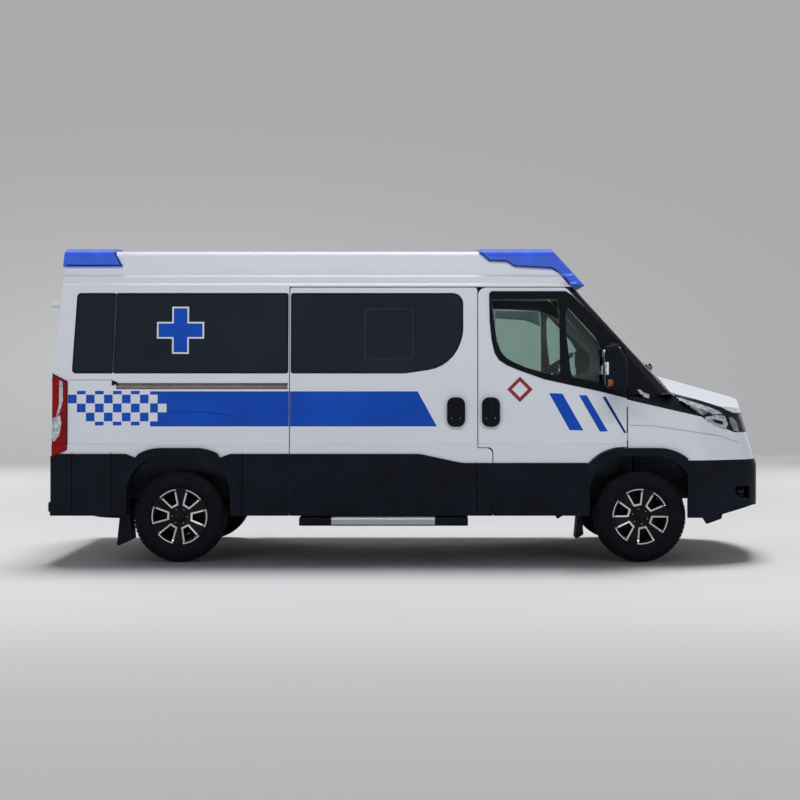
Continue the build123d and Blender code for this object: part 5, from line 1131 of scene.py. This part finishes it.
for end, axleX in axles.items():
    for side, sign in sides.items():
        body = f"wheel_{end}_{side}"
        centre = Vector((axleX, sign * wheel["track"] / 2, wheel["radius"])) * mm
        windows = {"Count": wheel["windows"], "First angle": -math.radians(windowTurn[end]), "Place": centre}
        repeatPiece(f"windowEdges_{end}_{side}", wheelEdges(sign), aroundTree,
                    {**windows, "Finish": turnedAluminium}, body)
        nut = knob((wheel["nutCircle"], sign * wheel["nutDepth"], 0), sign, wheel["nutRadius"],
                   wheel["nutTip"], wheel["nutLength"], 6)
        smooth(repeatPiece(f"wheelNuts_{end}_{side}", nut, aroundTree, {**windows, "Finish": dullZinc}, body))
        smooth(addPiece(f"wheelCap_{end}_{side}", turnedDisc(wheel["cap"], centre, 1, sign, 36), blackAlloy,
                        body))
        # The shield sits on what carries the wheel
        holder = f"knuckle_{side}" if end == "front" else "body"
        openHalf = shield["openHalf"]
        smooth(addPiece(f"shieldRing_{end}_{side}", turnedShell(shield["ring"], sign, centre, 0, 2 * math.pi),
                        coatedSteel, holder))
        plate = turnedShell(shield["plate"], sign, centre, openHalf - math.pi / 2, 2 * math.pi - 2 * openHalf)
        smooth(addPiece(f"shieldPlate_{end}_{side}", plate, coatedSteel, holder))
        tyre = closeUp(repeatPiece(f"treadTyre_{end}_{side}", tyreBlock(sign), aroundTree,
                                   {"Count": tyreMake["blocks"], "First angle": 0.0, "Place": centre,
                                    "Finish": tyreRubber}, body))
        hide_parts(f"tyre_{end}_{side}")
print("stage: wheels")


# Camera, light and studio

studio = {"camera": (0.094, -13.0, 1.43), "focal": 71.0, "shift": -0.031, "wallY": 15.2, "halfWidth": 40,
          "front": -30, "height": 30, "floorHex": "#DCDCDA", "wallHex": "#B9B9B8", "airHex": "#E4EAF5",
          "airSeenHex": "#B2B3B4", "airLight": 0.11}

camera = inScene("camera", bpy.data.cameras.new("camera"))
camera.data.lens = studio["focal"]
camera.data.sensor_width = 36
camera.data.shift_x = camera.data.shift_y = studio["shift"]
camera.data.clip_end = 200
camera.location = studio["camera"]
camera.rotation_euler = (math.pi / 2, 0, 0)
scene.camera = camera


def stagePlane(name, corners, material):
    mesh = bpy.data.meshes.new(name)
    mesh.from_pydata(corners, [], [(0, 1, 2, 3)])
    mesh.materials.append(material)
    plane = inScene(name, mesh)
    return plane


# Seamless floor: pale far away and greyer towards the front, as in a lit cove; this fall of the light is
# painted shade in the floor's colour
floorRange = {"near": -8.5, "far": 12.0}
floorShadeTones = ((0.0, "#BBBBBB"), (0.045, "#C0C0C0"), (0.12, "#CACACA"), (0.166, "#D5D5D5"), (0.23, "#E5E5E5"),
              (0.28, "#EAEAEA"), (0.5, "#E2E2E2"), (0.66, "#D4D4D4"))
studioFloor = newMaterial("studioFloor", studio["floorHex"], 0.8, Specular_IOR_Level=0.1)
floorTree = studioFloor.node_tree
floorPlace = addNode(floorTree, "ShaderNodeTexCoord")
floorSplit = addNode(floorTree, "ShaderNodeSeparateXYZ", {0: floorPlace.outputs["Object"]})
floorShare = addNode(floorTree, "ShaderNodeMapRange", {
    "Value": floorSplit.outputs["Y"], "From Min": floorRange["near"], "From Max": floorRange["far"]})
floorShadeRamp = addNode(floorTree, "ShaderNodeValToRGB", {"Fac": floorShare.outputs["Result"]})
for spot, hexText in floorShadeTones:
    mark = floorShadeRamp.color_ramp.elements[0] if spot == 0 else floorShadeRamp.color_ramp.elements.new(spot)
    mark.color = linear(hexText)
floorShadeRamp.color_ramp.elements[-1].color = linear("#C2C2C2")
floorTree.links.new(floorShadeRamp.outputs["Color"], floorTree.nodes["Principled BSDF"].inputs["Base Color"])


def backdropShine(tree, colourSocket, litSocket):
    # The camera, gloss and glass see the backdrop's own colour, and other rays see the lit surface.
    rays = addNode(tree, "ShaderNodeLightPath")
    direct = addNode(tree, "ShaderNodeMath",
                     {0: rays.outputs["Is Camera Ray"], 1: rays.outputs["Is Glossy Ray"]},
                     operation="MAXIMUM")
    seen = addNode(tree, "ShaderNodeMath", {0: direct.outputs[0], 1: rays.outputs["Is Transmission Ray"]},
                   operation="MAXIMUM")
    shine = addNode(tree, "ShaderNodeEmission", {"Color": colourSocket, "Strength": 1.0})
    return addNode(tree, "ShaderNodeMixShader", {0: seen.outputs[0], 1: litSocket, 2: shine.outputs[0]})


# Backdrop paper with a painted pool of light, brightest low on the left
paintedGlow = {"x": -4.5, "z": 1.5, "halfWidth": 16, "halfHeight": 5.6, "dimHex": "#AAAAAC", "brightHex": "#C6C6C6"}
studioWall = newMaterial("studioWall", studio["wallHex"], 0.9)
wallTree = studioWall.node_tree
wallPlace = addNode(wallTree, "ShaderNodeTexCoord")
wallFit = addNode(wallTree, "ShaderNodeMapping", {
    "Vector": wallPlace.outputs["Object"],
    "Location": (-paintedGlow["x"] / paintedGlow["halfWidth"], 0, -paintedGlow["z"] / paintedGlow["halfHeight"]),
    "Scale": (1 / paintedGlow["halfWidth"], 0, 1 / paintedGlow["halfHeight"])})
wallPaintedGlow = addNode(wallTree, "ShaderNodeTexGradient", {"Vector": wallFit.outputs[0]},
                   gradient_type="QUADRATIC_SPHERE")
wallRamp = addNode(wallTree, "ShaderNodeValToRGB", {"Fac": wallPaintedGlow.outputs["Fac"]})
wallRamp.color_ramp.elements[0].color = linear(paintedGlow["dimHex"])
wallRamp.color_ramp.elements[1].color = linear(paintedGlow["brightHex"])
wallTree.links.new(wallRamp.outputs["Color"], wallTree.nodes["Principled BSDF"].inputs["Base Color"])
wallMix = backdropShine(wallTree, wallRamp.outputs["Color"], wallTree.nodes["Principled BSDF"].outputs[0])
wallTree.links.new(wallMix.outputs[0], wallTree.nodes["Material Output"].inputs["Surface"])
wide, front, wallY, height = studio["halfWidth"], studio["front"], studio["wallY"], studio["height"]
ground = stagePlane("studioFloor", [(-wide, front, 0), (wide, front, 0), (wide, wallY, 0), (-wide, wallY, 0)],
                    studioFloor)
backdrop = stagePlane("studioWall", [(-wide, wallY, 0), (wide, wallY, 0), (wide, wallY, height),
                                     (-wide, wallY, height)], studioWall)
backdrop.visible_shadow = False  # the overhead light comes from its side

# A broad soft light overhead that leans a little from behind
sun = {"energy": 2.35, "angle": math.radians(24), "aim": (-0.05, -0.32, -1.0)}
overhead = bpy.data.lights.new("overhead", "SUN")
overhead.energy, overhead.angle = sun["energy"], sun["angle"]
inScene("overhead", overhead).rotation_euler = Vector(sun["aim"]).to_track_quat("-Z", "Y").to_euler()


def areaLight(name, place, aim, size, watts):
    light = bpy.data.lights.new(name, "AREA")
    light.shape = "RECTANGLE"
    light.size, light.size_y = size
    light.energy = watts
    holder = inScene(name, light)
    holder.location = place
    holder.rotation_euler = (Vector(aim) - Vector(place)).to_track_quat("-Z", "Y").to_euler()
    return holder


# Low soft boxes at the corners
softBoxes = {"frontLeft": ((-8.8, -11.2, 1.6), 130), "frontRight": ((8.8, -11.2, 1.6), 130),
             "backLeft": ((-9.0, 9.0, 4.0), 220), "backRight": ((9.0, 9.0, 4.0), 220)}
for name, (place, watts) in softBoxes.items():
    areaLight(name, place, (0, 0, 1.1), (5, 3), watts)

# Long strip light high in front, flagged off the floor so that the shadow stays dark
strip = areaLight("stripLight", (0, -6.5, 6.2), (0, -1.0, 1.6), (8.0, 1.2), 215)
flagged = bpy.data.collections.new("flagged")
flagged.objects.link(ground)
flagged.collection_objects[0].light_linking.link_state = "EXCLUDE"
strip.light_linking.receiver_collection = flagged

world = bpy.data.worlds.new("studioAir")
scene.world = world
world.use_nodes = True
airTree = world.node_tree
airLight = airTree.nodes["Background"]
airLight.inputs["Color"].default_value = linear(studio["airHex"])
airLight.inputs["Strength"].default_value = studio["airLight"]
airSeen = addNode(airTree, "ShaderNodeRGB")
airSeen.outputs[0].default_value = linear(studio["airSeenHex"])
airMix = backdropShine(airTree, airSeen.outputs[0], airLight.outputs[0])
airTree.links.new(airMix.outputs[0], airTree.nodes["World Output"].inputs["Surface"])
scene.view_settings.view_transform = "Standard"
print("stage: studio")
